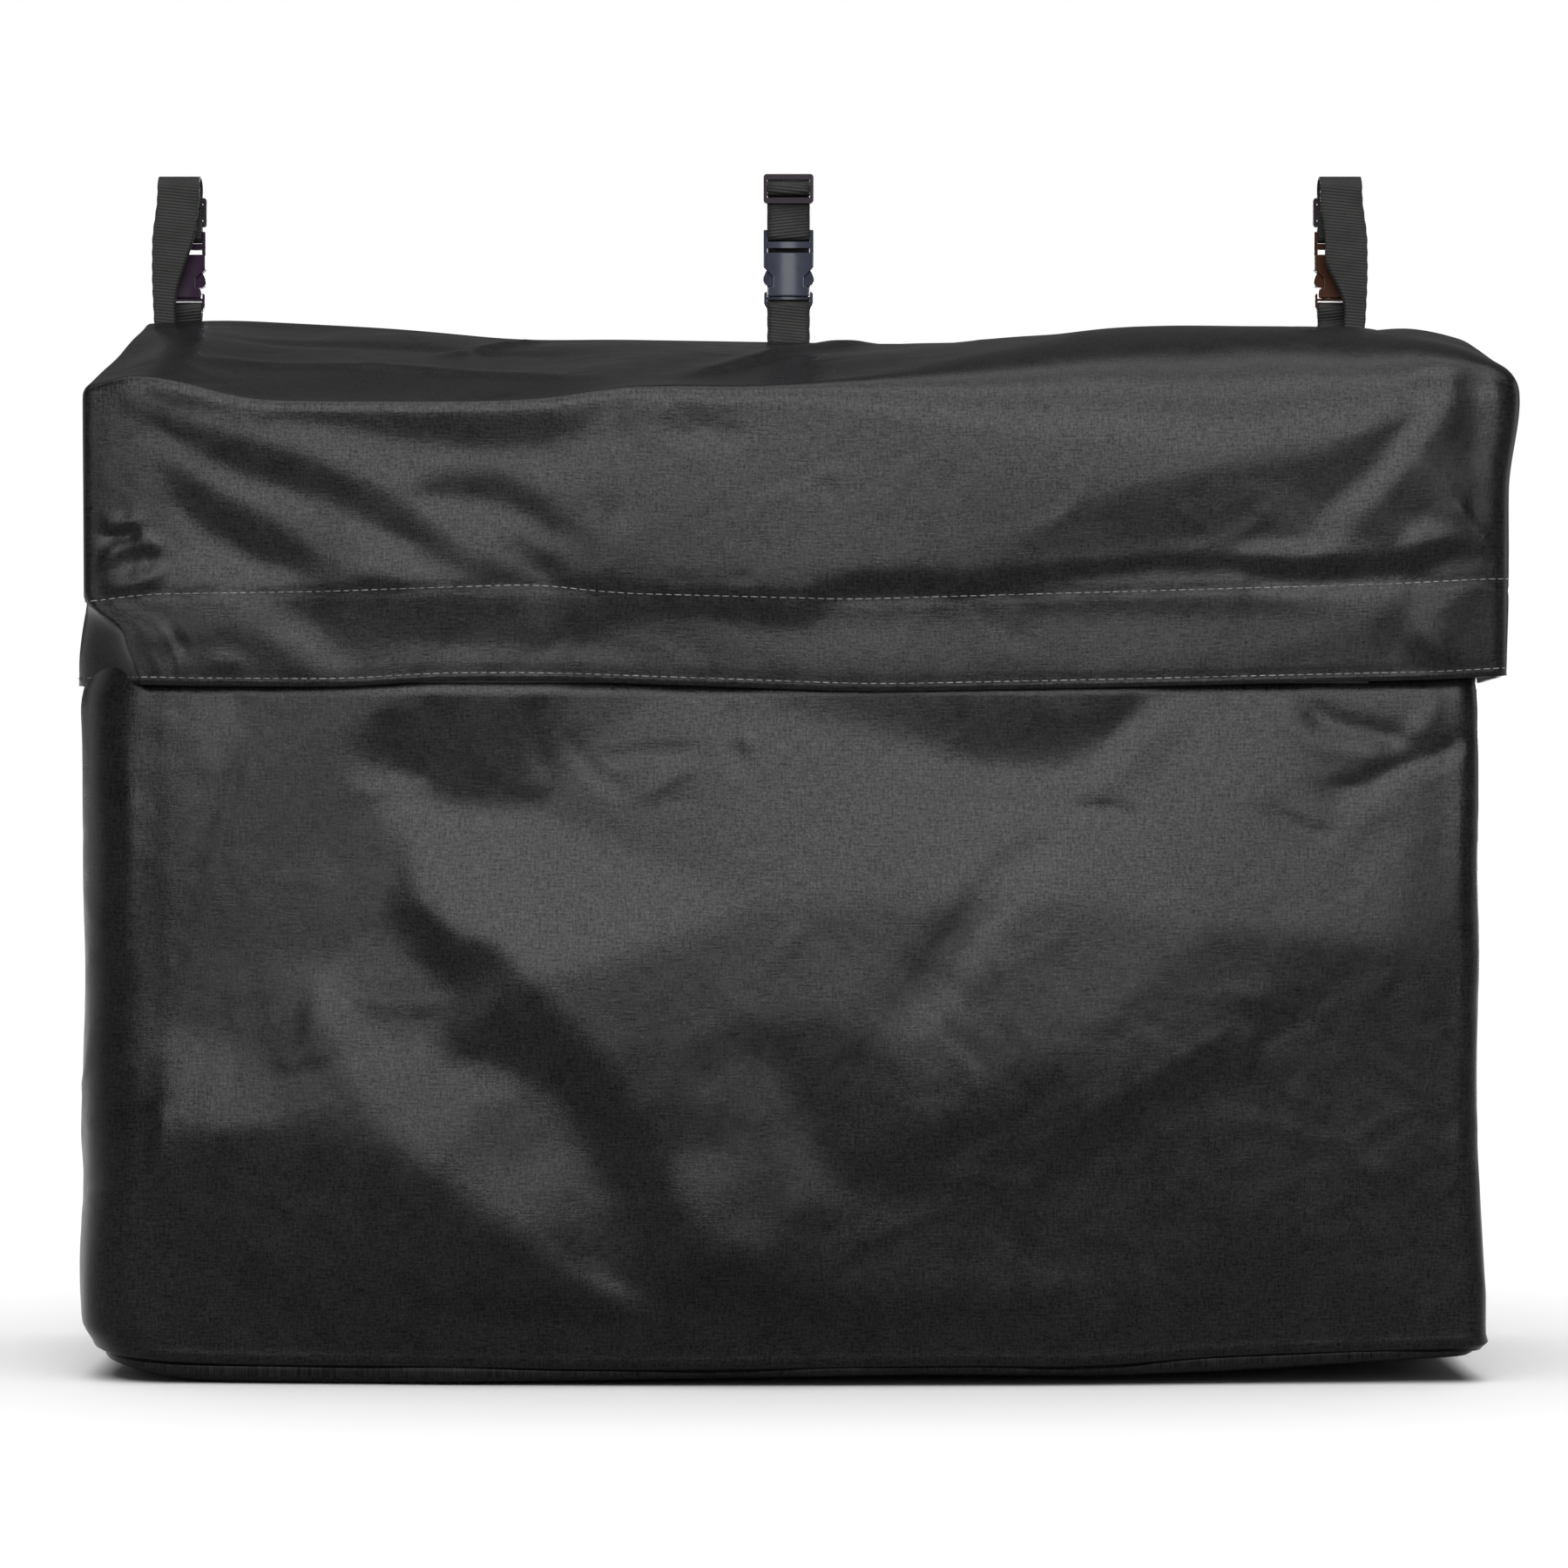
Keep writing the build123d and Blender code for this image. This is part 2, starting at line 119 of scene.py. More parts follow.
class Relief:
    """Heights over a flat panel: fold lines of (across, up, height), joined by flat facets and softened."""

    STEP = 2.0

    def __init__(self, lines, corner, opposite, soft=4.0):
        points, edges, heights = [], [], []
        for line in lines:
            first = len(points)
            for across, up, height in line:
                points.append(Vector((across, up)))
                heights.append(height)
            edges += [(i, i + 1) for i in range(first, len(points) - 1)]
        verts, _, faces, sources, _, _ = delaunay_2d_cdt(points, edges, [], 0, 1e-3)
        given = np.array([(p.x, p.y) for p in points])
        level = []
        for vert, source in zip(verts, sources):
            if source:
                level.append(heights[source[0]])
                continue
            # two lines cross here, so the height lies between those of the nearest given points
            gap = np.hypot(*(given - np.array(vert)).T)
            nearest = np.argsort(gap)[:2]
            share = 1 / (gap[nearest] + 1e-6)
            level.append(sum(heights[i] / (gap[i] + 1e-6) for i in nearest) / sum(share))
        self.corner = np.array(corner, float)
        size = [int((b - a) / self.STEP) + 2 for a, b in zip(corner, opposite)]
        grid = np.zeros(size)
        for face in faces:
            self._fill(grid, [verts[i] for i in face], [level[i] for i in face])
        self.grid = blur(grid, soft / self.STEP)

    def _fill(self, grid, corners, levels):
        """Writes one flat facet into the grid."""
        p = (np.array(corners) - self.corner) / self.STEP
        start = np.maximum(np.floor(p.min(0)).astype(int), 0)
        stop = np.minimum(np.ceil(p.max(0)).astype(int) + 1, grid.shape)
        if (start >= stop).any():
            return
        i, j = np.mgrid[start[0] : stop[0], start[1] : stop[1]]
        (ax, ay), (bx, by), (cx, cy) = p
        area = (bx - ax) * (cy - ay) - (cx - ax) * (by - ay)
        if abs(area) < 1e-9:
            return
        u = ((i - ax) * (cy - ay) - (cx - ax) * (j - ay)) / area
        v = ((bx - ax) * (j - ay) - (i - ax) * (by - ay)) / area
        inside = (u >= -1e-6) & (v >= -1e-6) & (u + v <= 1 + 1e-6)
        value = levels[0] + u * (levels[1] - levels[0]) + v * (levels[2] - levels[0])
        grid[start[0] : stop[0], start[1] : stop[1]][inside] = value[inside]

    def __call__(self, across, up):
        """The heights at places on the panel."""
        a = np.clip((across - self.corner[0]) / self.STEP, 0, self.grid.shape[0] - 1.001)
        b = np.clip((up - self.corner[1]) / self.STEP, 0, self.grid.shape[1] - 1.001)
        i, j = a.astype(int), b.astype(int)
        a, b = a - i, b - j
        g = self.grid
        near = g[i, j] * (1 - a) + g[i + 1, j] * a
        far = g[i, j + 1] * (1 - a) + g[i + 1, j + 1] * a
        return near * (1 - b) + far * b


def curve(points, steps=8):
    """A smooth curve through 2-D points."""
    p = np.array(points, float)
    if len(p) < 3:
        return p
    ends = np.vstack([2 * p[0] - p[1], p, 2 * p[-1] - p[-2]])
    out = []
    for a, b, c, d in zip(ends, ends[1:], ends[2:], ends[3:]):
        bend, twist = 2 * a - 5 * b + 4 * c - d, 3 * b - a - 3 * c + d
        for t in np.linspace(0, 1, steps, endpoint=False):
            out.append(0.5 * (2 * b + (c - a) * t + bend * t**2 + twist * t**3))
    return np.vstack([out, p[-1]])


def stroke(across, up, points, height, width, lean=0.0, blunt=0.25):
    """One fold along a curve, dying away at its ends. lean makes the side to its left wider."""
    line = curve(points)
    lengths = np.hypot(*np.diff(line, axis=0).T)
    total, start = lengths.sum(), 0.0
    best = np.full(across.shape, 1e9)
    signed, place = np.zeros(across.shape), np.zeros(across.shape)
    near = (across > line[:, 0].min() - 4 * width) & (across < line[:, 0].max() + 4 * width)
    near &= (up > line[:, 1].min() - 4 * width) & (up < line[:, 1].max() + 4 * width)
    a, b = across[near], up[near]
    gap_best, side_best, place_best = best[near], signed[near], place[near]
    for (x0, y0), (x1, y1), length in zip(line, line[1:], lengths):
        dx, dy = (x1 - x0) / length, (y1 - y0) / length
        t = np.clip((a - x0) * dx + (b - y0) * dy, 0, length)
        gap = np.hypot(a - x0 - t * dx, b - y0 - t * dy)
        closer = gap < gap_best
        gap_best = np.where(closer, gap, gap_best)
        side_best = np.where(closer, dx * (b - y0) - dy * (a - x0), side_best)
        place_best = np.where(closer, (start + t) / total, place_best)
        start += length
    spread = width * np.where(side_best > 0, 1 + lean, 1 - lean)
    fade = ease(0, blunt, place_best) * ease(0, blunt, 1 - place_best)
    out = np.zeros(across.shape)
    out[near] = height * np.exp(-((gap_best / spread) ** 2)) * fade
    return out


def strokes(across, up, table):
    """The sum of many folds, each (points, height, width) and, where it matters, its lean."""
    return sum(stroke(across, up, *row) for row in table)


def crumple(across, up, seed, count, area, length=(15, 45), width=(2.0, 4.5), height=(0.15, 0.55)):
    """Small random creases over an area."""
    pick = np.random.default_rng(seed)
    total = np.zeros(across.shape)
    for _ in range(count):
        x, y = pick.uniform(area[0], area[2]), pick.uniform(area[1], area[3])
        angle, half = pick.uniform(0, math.pi), pick.uniform(*length) / 2
        dx, dy = math.cos(angle), math.sin(angle)
        along = (across - x) * dx + (up - y) * dy
        off = (up - y) * dx - (across - x) * dy + along**2 / half * pick.uniform(-0.3, 0.3)
        size = pick.uniform(*height) * pick.choice([-1, 1])
        total += size * np.exp(-((off / pick.uniform(*width)) ** 2) - (along / half) ** 2)
    return total


def swell(across, up, seed, waves=9, wavelength=(70, 220), height=0.5):
    """Slow uneven waviness."""
    pick = np.random.default_rng(seed)
    total = np.zeros(across.shape)
    for _ in range(waves):
        angle, reach = pick.uniform(0, math.tau), pick.uniform(*wavelength)
        phase = pick.uniform(0, math.tau)
        total += np.sin((across * math.cos(angle) + up * math.sin(angle)) * math.tau / reach + phase)
    return total * height / math.sqrt(waves / 2)


def normals(grid):
    """Unit normals of a grid of points, by its second axis crossed with its first."""
    first, second = np.gradient(grid, axis=0), np.gradient(grid, axis=1)
    n = np.cross(first, second)
    return n / np.maximum(np.linalg.norm(n, axis=-1, keepdims=True), 1e-9)


def run_along(path):
    """The distance along a path at each of its points. Many paths can be given at once."""
    steps = np.linalg.norm(np.diff(path, axis=-2), axis=-1)
    return np.insert(np.cumsum(steps, axis=-1), 0, 0, axis=-1)


def read_at(at, run, values):
    """Values given at distances along a run, read at other distances."""
    return np.stack([np.interp(at, run, column) for column in values.T], -1)


def arc_between(start, middle, end, t):
    """A soft curve from start to end that is drawn towards the middle point."""
    return (1 - t) ** 2 * start + 2 * t * (1 - t) * middle + t**2 * end


# --- making meshes ------------------------------------------------------------------------------------------


def patch_faces(shape, offset=0, closed=False):
    """Quads of a grid, closed along its first axis if asked."""
    rows, columns = shape
    i, j = np.mgrid[0 : rows - (0 if closed else 1), 0 : columns - 1]
    after = (i + 1) % rows
    quads = np.stack([i * columns + j, after * columns + j, after * columns + j + 1, i * columns + j + 1], -1)
    return quads.reshape(-1, 4) + offset


def mesh_object(name, verts, faces, uv=None, materials=()):
    """A smooth-shaded object from millimetre points. uv holds a place on the cloth for each vertex."""
    mesh = bpy.data.meshes.new(name)
    mesh.from_pydata((np.array(verts) * MM).tolist(), [], [list(f) for f in faces])
    if uv is not None:
        layer = mesh.uv_layers.new(name="cloth")
        index = np.zeros(len(mesh.loops), int)
        mesh.loops.foreach_get("vertex_index", index)
        layer.data.foreach_set("uv", (np.array(uv)[index] * MM).astype(np.float32).ravel())
    for material in materials:
        mesh.materials.append(material)
    mesh.polygons.foreach_set("use_smooth", np.ones(len(mesh.polygons), bool))
    obj = bpy.data.objects.new(name, mesh)
    bpy.context.scene.collection.objects.link(obj)
    return obj


def face_outwards(obj):
    """Turns a closed mesh's faces outwards."""
    work = bmesh.new()
    work.from_mesh(obj.data)
    bmesh.ops.recalc_face_normals(work, faces=work.faces)
    work.to_mesh(obj.data)
    work.free()


def join_patches(name, patches, materials=(), merge=0.02):
    """One object from grids of (points, cloth places), merged where they meet."""
    verts, faces, places = [], [], []
    for points, uv in patches:
        faces.append(patch_faces(points.shape[:2], sum(len(v) for v in verts)))
        verts.append(points.reshape(-1, 3))
        places.append(uv.reshape(-1, 2))
    obj = mesh_object(name, np.vstack(verts), np.vstack(faces), np.vstack(places), materials)
    work = bmesh.new()
    work.from_mesh(obj.data)
    bmesh.ops.remove_doubles(work, verts=work.verts, dist=merge * MM)
    bmesh.ops.recalc_face_normals(work, faces=work.faces)
    work.to_mesh(obj.data)
    work.free()
    return obj


def thicken(obj, thickness, lined=False):
    """Gives cloth its thickness, inwards. A lined cloth has its second material inside."""
    solid = obj.modifiers.new("thickness", "SOLIDIFY")
    solid.thickness = thickness * MM
    solid.offset = -1
    solid.use_even_offset = False
    solid.material_offset = int(lined)
    solid.material_offset_rim = 0
    evaluated = obj.evaluated_get(bpy.context.evaluated_depsgraph_get())
    mesh = bpy.data.meshes.new_from_object(evaluated)
    obj.modifiers.clear()
    obj.data = mesh


# --- materials ----------------------------------------------------------------------------------------------


class Nodes:
    """Short calls for building a material's nodes."""

    def __init__(self, name):
        self.material = bpy.data.materials.new(name)
        self.material.use_nodes = True
        self.tree = self.material.node_tree
        self.shader = self.tree.nodes["Principled BSDF"]

    def surface(self, name, value):
        """Sets or links one of the surface's inputs."""
        self.feed(self.shader.inputs[name], value)

    def add(self, kind, inputs=None, **settings):
        """Adds a node. Each input is a value or another node's output."""
        made = self.tree.nodes.new("ShaderNode" + kind)
        for key, value in settings.items():
            setattr(made, key, value)
        for key, value in (inputs or {}).items():
            self.feed(made.inputs[key], value)
        return made

    def feed(self, socket, value):
        """Links an output to a socket, or gives the socket a value."""
        if isinstance(value, bpy.types.NodeSocket):
            self.tree.links.new(value, socket)
        else:
            socket.default_value = value

    def math(self, operation, *values):
        """One sum of numbers."""
        made = self.add("Math", operation=operation)
        for socket, value in zip(made.inputs, values):
            self.feed(socket, value)
        return made.outputs[0]

    def plus(self, first, second):
        return self.math("ADD", first, second)

    def minus(self, first, second):
        return self.math("SUBTRACT", first, second)

    def times(self, first, second):
        return self.math("MULTIPLY", first, second)

    def sine(self, value):
        return self.math("SINE", value)

    def noise(self, vector, scale, detail=3.0, stretch=(1, 1, 1)):
        """Soft noise. stretch scales its axes."""
        mapped = self.add("Mapping", {"Vector": vector, "Scale": stretch}).outputs[0]
        made = self.add("TexNoise", {"Vector": mapped, "Scale": scale, "Detail": detail})
        return made.outputs["Fac"]

    def blend(self, factor, first, second):
        """A mix of two colours."""
        made = self.add("Mix", data_type="RGBA")
        for socket, value in zip((made.inputs[0], made.inputs[6], made.inputs[7]), (factor, first, second)):
            self.feed(socket, value)
        return made.outputs[2]

    def span(self, value, low_out, high_out, low_in=0.3, high_in=0.7):
        """A value moved from one range to another, and held inside it."""
        given = {"Value": value, "From Min": low_in, "From Max": high_in}
        return self.add("MapRange", {**given, "To Min": low_out, "To Max": high_out}).outputs[0]

    def bump(self, height, distance):
        """Roughens the surface by a height, in steps of a distance in millimetres."""
        made = self.add("Bump", {"Height": height, "Distance": distance * MM, "Strength": 1.0})
        self.surface("Normal", made.outputs[0])


def grey(value, warm=0.0):
    """A near-neutral colour."""
    return (value * (1 + warm), value, value * (1 - warm), 1)


def cloth_material(name, dark, light, roughness, shine=0.11875, thread=0.62):
    """A plain-woven coated cloth. Each thread glints on its own, and the coating is a little uneven."""
    m = Nodes(name)
    m.surface("Specular IOR Level", shine)
    place = m.add("TexCoord").outputs["UV"]
    u, v, _ = m.add("SeparateXYZ", {"Vector": place}).outputs
    turn = math.pi / (thread * MM)
    weave = m.times(m.sine(m.times(u, turn)), m.sine(m.times(v, turn)))
    warp = m.noise(place, 1.0, 2.0, (1400, 150, 1))
    weft = m.noise(place, 1.0, 2.0, (150, 1400, 1))
    threads = m.minus(m.plus(warp, weft), 1.0)
    speckle = m.minus(m.noise(place, 800.0, 2.0), 0.5)
    patches = m.minus(m.noise(place, 70.0, 5.0), 0.5)
    tone = m.plus(m.times(threads, 0.9), m.times(weave, 0.14))
    spots = m.plus(m.times(speckle, 1.3), m.times(patches, 0.3))
    tone = m.plus(tone, spots)
    m.surface("Base Color", m.blend(m.span(tone, 0.0, 1.0, -0.4, 0.4), dark, light))
    glint = m.blend(m.span(tone, 0.0, 1.0, -0.45, 0.45), grey(0.44), grey(1.16))
    m.surface("Specular Tint", glint)
    m.surface("Roughness", m.span(patches, roughness - 0.04, roughness + 0.05, -0.2, 0.2))
    grain = m.plus(m.times(weave, 0.35), m.times(threads, 1.1))
    uneven = m.plus(m.times(patches, 5.0), m.times(speckle, 1.3))
    m.bump(m.plus(grain, uneven), 0.04)
    return m.material


def webbing_material():
    """Flat nylon webbing with ribs across it."""
    m = Nodes("webbing")
    m.surface("Specular IOR Level", 0.085)
    place = m.add("TexCoord").outputs["UV"]
    u, v, _ = m.add("SeparateXYZ", {"Vector": place}).outputs
    slant = m.plus(v, m.times(u, 0.1))
    ribs = m.sine(m.times(slant, math.tau / (1.5 * MM)))
    columns = m.sine(m.times(u, math.tau / (1.25 * MM)))
    fuzz = m.noise(place, 900.0, 3.0)
    wear = m.noise(place, 60.0, 4.0)
    tone = m.plus(m.times(ribs, 0.16), m.times(fuzz, 0.9))
    dark, light = grey(0.0016, 0.04), grey(0.0062, 0.04)
    m.surface("Base Color", m.blend(m.span(tone, 0.0, 1.0, 0.05, 0.75), dark, light))
    m.surface("Roughness", m.span(wear, 0.5, 0.68))
    height = m.plus(ribs, m.times(columns, 0.12))
    m.bump(m.plus(height, m.times(fuzz, 1.4)), 0.08)
    return m.material


def plastic_material(name, colour, middle, roughness=0.34, gloss=0.09, hollow=26.0):
    """Moulded nylon with a fine spark texture, its edges painted paler as a painted highlight. Its face is
    dished about the line x = middle.
    """
    m = Nodes(name)
    m.surface("Specular IOR Level", gloss)
    place = m.add("TexCoord").outputs["Object"]
    spark = m.noise(place, 2600.0, 2.0)
    flow = m.noise(place, 120.0, 4.0)
    x = m.minus(m.add("SeparateXYZ", {"Vector": place}).outputs[0], middle * MM)
    dish = m.times(m.times(x, x), hollow / MM)
    edge = m.add("Bevel", {"Radius": 0.5 * MM}, samples=4).outputs[0]
    normal = m.add("NewGeometry").outputs["Normal"]
    turned = m.add("VectorMath", {0: edge, 1: normal}, operation="DOT_PRODUCT")
    # painted highlight: the colour turns paler along the edges, where the bevelled normal leaves the true one
    painted_edge_highlight = m.span(turned.outputs["Value"], 0.5, 0.0, 0.75, 0.995)
    edge_highlight_colour = tuple(c * 1.5 for c in colour[:3]) + (1,)
    deep = tuple(c * 0.7 for c in colour[:3]) + (1,)
    body = m.blend(flow, deep, colour)
    m.surface("Base Color", m.blend(painted_edge_highlight, body, edge_highlight_colour))
    m.surface("Roughness", m.span(flow, roughness - 0.05, roughness + 0.08))
    m.bump(m.plus(dish, m.times(spark, 0.02)), 1.0)
    return m.material


def tape_material(name, tone, scale):
    """The pile of hook or loop tape."""
    m = Nodes(name)
    place = m.add("TexCoord").outputs["Object"]
    pile = m.noise(place, scale, 4.0)
    m.surface("Base Color", m.blend(pile, grey(tone * 0.5), grey(tone * 1.6)))
    m.surface("Roughness", 0.85)
    m.surface("Specular IOR Level", 0.15)
    m.bump(pile, 0.8)
    return m.material


def board_material():
    """Hollow plastic board with its fine flutes."""
    m = Nodes("board")
    place = m.add("TexCoord").outputs["Object"]
    across = m.add("SeparateXYZ", {"Vector": place}).outputs[0]
    flutes = m.sine(m.times(across, math.tau / (4 * MM)))
    scuffs = m.noise(place, 45.0, 5.0)
    m.surface("Base Color", m.blend(scuffs, grey(0.02), grey(0.05)))
    m.surface("Roughness", m.span(scuffs, 0.4, 0.6))
    m.bump(flutes, 0.08)
    return m.material


def thread_material():
    """Twisted polyester thread."""
    m = Nodes("thread")
    place = m.add("TexCoord").outputs["Object"]
    fuzz = m.noise(place, 1500.0, 2.0)
    wear = m.span(m.noise(place, 60.0, 3.0), 0.0, 1.0, 0.36, 0.64)
    m.surface("Base Color", m.blend(wear, grey(0.010), m.blend(fuzz, grey(0.035), grey(0.07))))
    m.surface("Roughness", 0.6)
    m.bump(fuzz, 0.1)
    return m.material


CLOTH = cloth_material("bag_cloth", grey(0.0006), grey(0.0036), 0.28)
LINING = cloth_material("lining_cloth", grey(0.014), grey(0.03), 0.6, 0.25, 0.8)
WEBBING = webbing_material()
BUCKLES = {
    "left": plastic_material("buckle_plum", (0.012, 0.007, 0.013, 1), STRAPS["left"], 0.36, 0.05),
    "centre": plastic_material("buckle_slate", (0.017, 0.019, 0.027, 1), STRAPS["centre"], 0.32, 0.13, 40.0),
    "right": plastic_material("buckle_brown", (0.022, 0.010, 0.006, 1), STRAPS["right"], 0.38, 0.05),
}
SLIDER = plastic_material("slider_plastic", (0.012, 0.009, 0.012, 1), 0.0, 0.5, 0.03, 0.0)
BOARD = board_material()
LOOP_PILE = tape_material("loop_pile", 0.02, 900.0)
HOOK_PILE = tape_material("hook_pile", 0.015, 1400.0)
THREAD = thread_material()

# --- the lid ------------------------------------------------------------------------------------------------

# Outlines seen from the front, as (across, height). The shoulder is measured from the ridge.
HEM_LINE = [(-318, 311), (-292, 310.7), (-201, 310), (-162, 312.7), (-111, 312.7), (31, 307.6),
            (128, 309.6), (298, 313.8), (314, 315.4)]
BAND_LINE = [(-317, 347.5), (-292, 351), (-209, 352), (-117, 355), (-82, 351), (20, 348.3), (147, 352),
             (248, 355), (312, 358)]
RIDGE_LINE = [(-318, 441), (-302, 450), (-272, 444), (-245, 436), (-188, 435), (-135, 435), (-102, 437),
              (-87, 441), (-30, 442), (31, 447), (61, 450), (103, 458), (140, 466), (187, 470), (223, 468),
              (252, 464), (280, 464), (302, 458), (318, 446)]
SHOULDER_DOWN = [(-318, 5), (-88, 4.5), (0, 10), (52, 22), (112, 40), (184, 56), (252, 42), (300, 20),
                 (318, 9)]
SHOULDER_BACK = [(-318, 5), (-88, 4.5), (0, 12), (52, 26), (112, 56), (184, 88), (252, 58), (300, 30),
                 (318, 10)]
BACK_LINE = [(-314, 490), (-292, 493.3), (-193, 488.2), (-128, 481.8), (-110, 483.4), (-14, 481.8),
             (34, 481), (102, 480), (190, 481.5), (251, 485.5), (281, 485), (316, 482)]
LEFT_ROLL, RIGHT_ROLL = 3.5, 6.5  # how round the lid's two side edges are
LID_LEAN = 5.0  # how far the ridge stands out past the hem
STITCH_IN = 3.4  # how far the lower stitch row lies above the hem's edge
WING_BAND = 353  # the height of the upper stitch row at the back of the side drops
FRONT_ROWS, SHOULDER_ROWS, TOP_ROWS = 52, 16, 56


LID_AREA = (-330, 300), (330, 500)  # two corners

# The lid's front folds, from its hem to its ridge: lines of (across, up, height).
LID_FOLDS = [
    [(-330, 300, 0), (-330, 500, 0)],
    [(330, 300, 0), (330, 500, 0)],
    [(-330, 306, 0), (-210, 306, 1.1), (-100, 306, 0.9), (100, 306, 1.2), (250, 306, 1.3), (330, 306, 0)],
    # the ridge line, then the dark hollow that hangs under its left half
    [(-302, 448, 1), (-272, 441.5, 1.8), (-245, 434, 1.8), (-188, 433, 2.3), (-135, 433, 2.8),
     (-102, 435, 2.8), (-87, 439.5, 1.8), (-30, 441, 1), (31, 446, 0.4), (112, 462, 0), (190, 470, 0),
     (262, 460, 0), (302, 456, 0)],
    [(-283, 433, 1), (-245, 430, 1.2), (-207, 425.7, 0.9), (-177.5, 418.4, 0.8), (-146, 414, 0.9),
     (-112, 416.2, 1.2), (-96, 421, 1.7)],
    # first long fold from the left corner and the broad hollow under it
    [(-300, 438, 1.4), (-262, 425, 1.8), (-245, 420, 2), (-220, 412.5, 2.1), (-199, 403.5, 2.1),
     (-178, 393, 2.1), (-157, 379, 2.1), (-147, 368, 2.2)],
    [(-300, 434, 0.7), (-281, 422, 0.4), (-262, 411, 0.3), (-241, 401, 0.1), (-220, 396, 0.2),
     (-199, 388, 0.5), (-178, 376, 0.8), (-157, 362, 1.2), (-148, 357, 1.4)],
    # second fold and its hollow
    [(-284, 412, 0.9), (-262, 399, 1.3), (-241, 388.5, 1.6), (-225, 378, 1.6), (-212, 368, 1.5)],
    [(-278, 396, -0.2), (-272, 387, -0.8), (-262, 377, -0.9), (-241, 365, -0.5), (-226, 361, 0.2)],
    [(-272, 372, 0.2), (-258, 366, 0.1), (-244, 357, 0.6)],
    [(-200, 372, 1.8), (-190, 357, 2.8), (-175, 358, 2.2)],
    # the arched hollow and the small tent inside it
    [(-167, 400, 1.7), (-152, 406, 1.6), (-135, 405, 1.7), (-118, 397, 2.2), (-106, 386, 2.5),
     (-100, 376, 2.4)],
    [(-164, 394, 0.9), (-150, 393, 0.6), (-134, 392, 0.6), (-121, 384, 0.8), (-112, 376, 1.2)],
    [(-150, 378, 1.6), (-135, 372, 2), (-129, 362, 2.4)],
    [(-122, 379, 1.7), (-112, 370, 2.2), (-101.5, 357, 2.4)],
    [(-120, 366, 1.2), (-112, 357, 0.6)],
    [(-95, 400, 2.6), (-90, 376, 3), (-88, 359, 3)],
    # the calm middle
    [(-60, 427, 1.2), (0, 430, 1), (70, 440, 1)],
    [(-60, 395, 2.2), (0, 392, 2.2), (60, 395, 2.2), (110, 405, 2.4)],
    [(-60, 362, 2.6), (0, 363, 2.6), (45, 366, 2.7), (78, 368, 2.8)],
    # the broad hollow on the right, narrowing up to the corner
    [(96, 371, 2.8), (124, 390, 2.9), (156, 401, 3.2), (188, 409, 3), (230, 414, 2.8), (252, 427, 2.4),
     (270, 445, 1.8)],
    [(102, 366, 2.4), (140, 368, 1.6), (190, 371, 1), (222, 373, 1.2), (232, 388, 1.2), (252, 402, 1),
     (268, 424, 0.8), (281, 446, 0.8)],
    [(288, 452, 1.6), (282, 432, 2.8), (268, 412, 3.2), (250, 392, 3), (236, 375, 2.6)],
    [(294, 450, 0.6), (299, 440, 0.4), (301, 415, 0.6), (305, 400, 1)],
    [(310, 440, 1.6), (313, 410, 1.8), (314, 385, 1.6)],
    [(259, 369, 1.8), (272, 384, 1.5), (287, 393, 2.4), (300, 382, 1), (311, 368, 1)],
    # the tuck over the band, left to right: its overhanging lip and its foot on the stitching
    [(-290, 353, 1.2), (-262, 354, 1.2), (-209, 354, 1.8), (-150, 356, 2.1), (-112, 356, 1.5),
     (-82, 353.5, 2.4), (0, 351, 2.6)],
    [(8, 354, 2.4), (27, 357.5, 2.6), (76, 356.5, 2.7), (112, 362, 2.8), (137, 364.5, 2.6),
     (158, 367.5, 2.4), (190, 369, 2.4), (226, 366.5, 2.9), (238, 367, 3.2), (272, 371, 3.2),
     (295, 375, 2)],
    [(8, 351, 1.6), (27, 355.2, 0.9), (76, 353.8, 0.9), (112, 359.4, 0.6), (137, 362, 0.5),
     (158, 364.6, 0.5), (188, 364, 0.3), (200, 359, -0.2), (220, 358, -0.3), (268, 361, -0.2),
     (293, 370, 0.4)],
    [(104, 351.5, 1.1), (150, 352, 1.2), (200, 352.5, 1.2), (266, 353, 1.1)],
    # the band
    [(-297, 340, 0.6), (-270, 338, 1.2), (-240, 336, 1.8), (-222, 324, 1.8), (-205, 317, 1)],
    [(-233, 350, 0.9), (-215, 338, 0.3), (-198, 324, 0.5), (-192, 318, 0.8)],
    [(-205, 348, 1.4), (-170, 345, 1.6), (-122, 347, 1.6)],
    [(-190, 330, 0.6), (-150, 329, 0.4), (-124, 328, 0.6), (-104, 328, 0.6)],
    [(-120, 346, 1.6), (-117, 332, 1.2), (-112, 344, 1.3)],
    [(-60, 342, 0.8), (0, 336, 0.5), (60, 338, 0.6), (110, 341, 0.6), (200, 342, 0.8)],
    [(-150, 320, 1), (0, 320, 1.1), (100, 322, 1.2), (200, 324, 1.4)],
    [(252, 341, 1.6), (262, 330, 0.6), (276, 320, 0.4)],
    [(268, 344, 1), (278, 334, 2), (284, 326, 1.8)],
    [(282, 338, 1), (298, 326, 0.2), (300, 319, 0.3)],
]


def lid_columns():
    """(x, how far the cloth has rolled back) at each column of the lid, rolled round its two side edges."""
    middle = np.linspace(-LID_HALF + LEFT_ROLL, LID_HALF - RIGHT_ROLL, 250)
    angle = np.linspace(0, math.pi / 2, 8)[1:]
    x, rolls = [middle], [np.zeros(len(middle))]
    for side, radius in ((-1, LEFT_ROLL), (1, RIGHT_ROLL)):
        edge = side * (LID_HALF - radius + radius * np.sin(angle))
        x.append(edge)
        rolls.append(radius * (1 - np.cos(angle)))
    order = np.argsort(np.concatenate(x), kind="stable")
    return np.concatenate(x)[order], np.concatenate(rolls)[order]


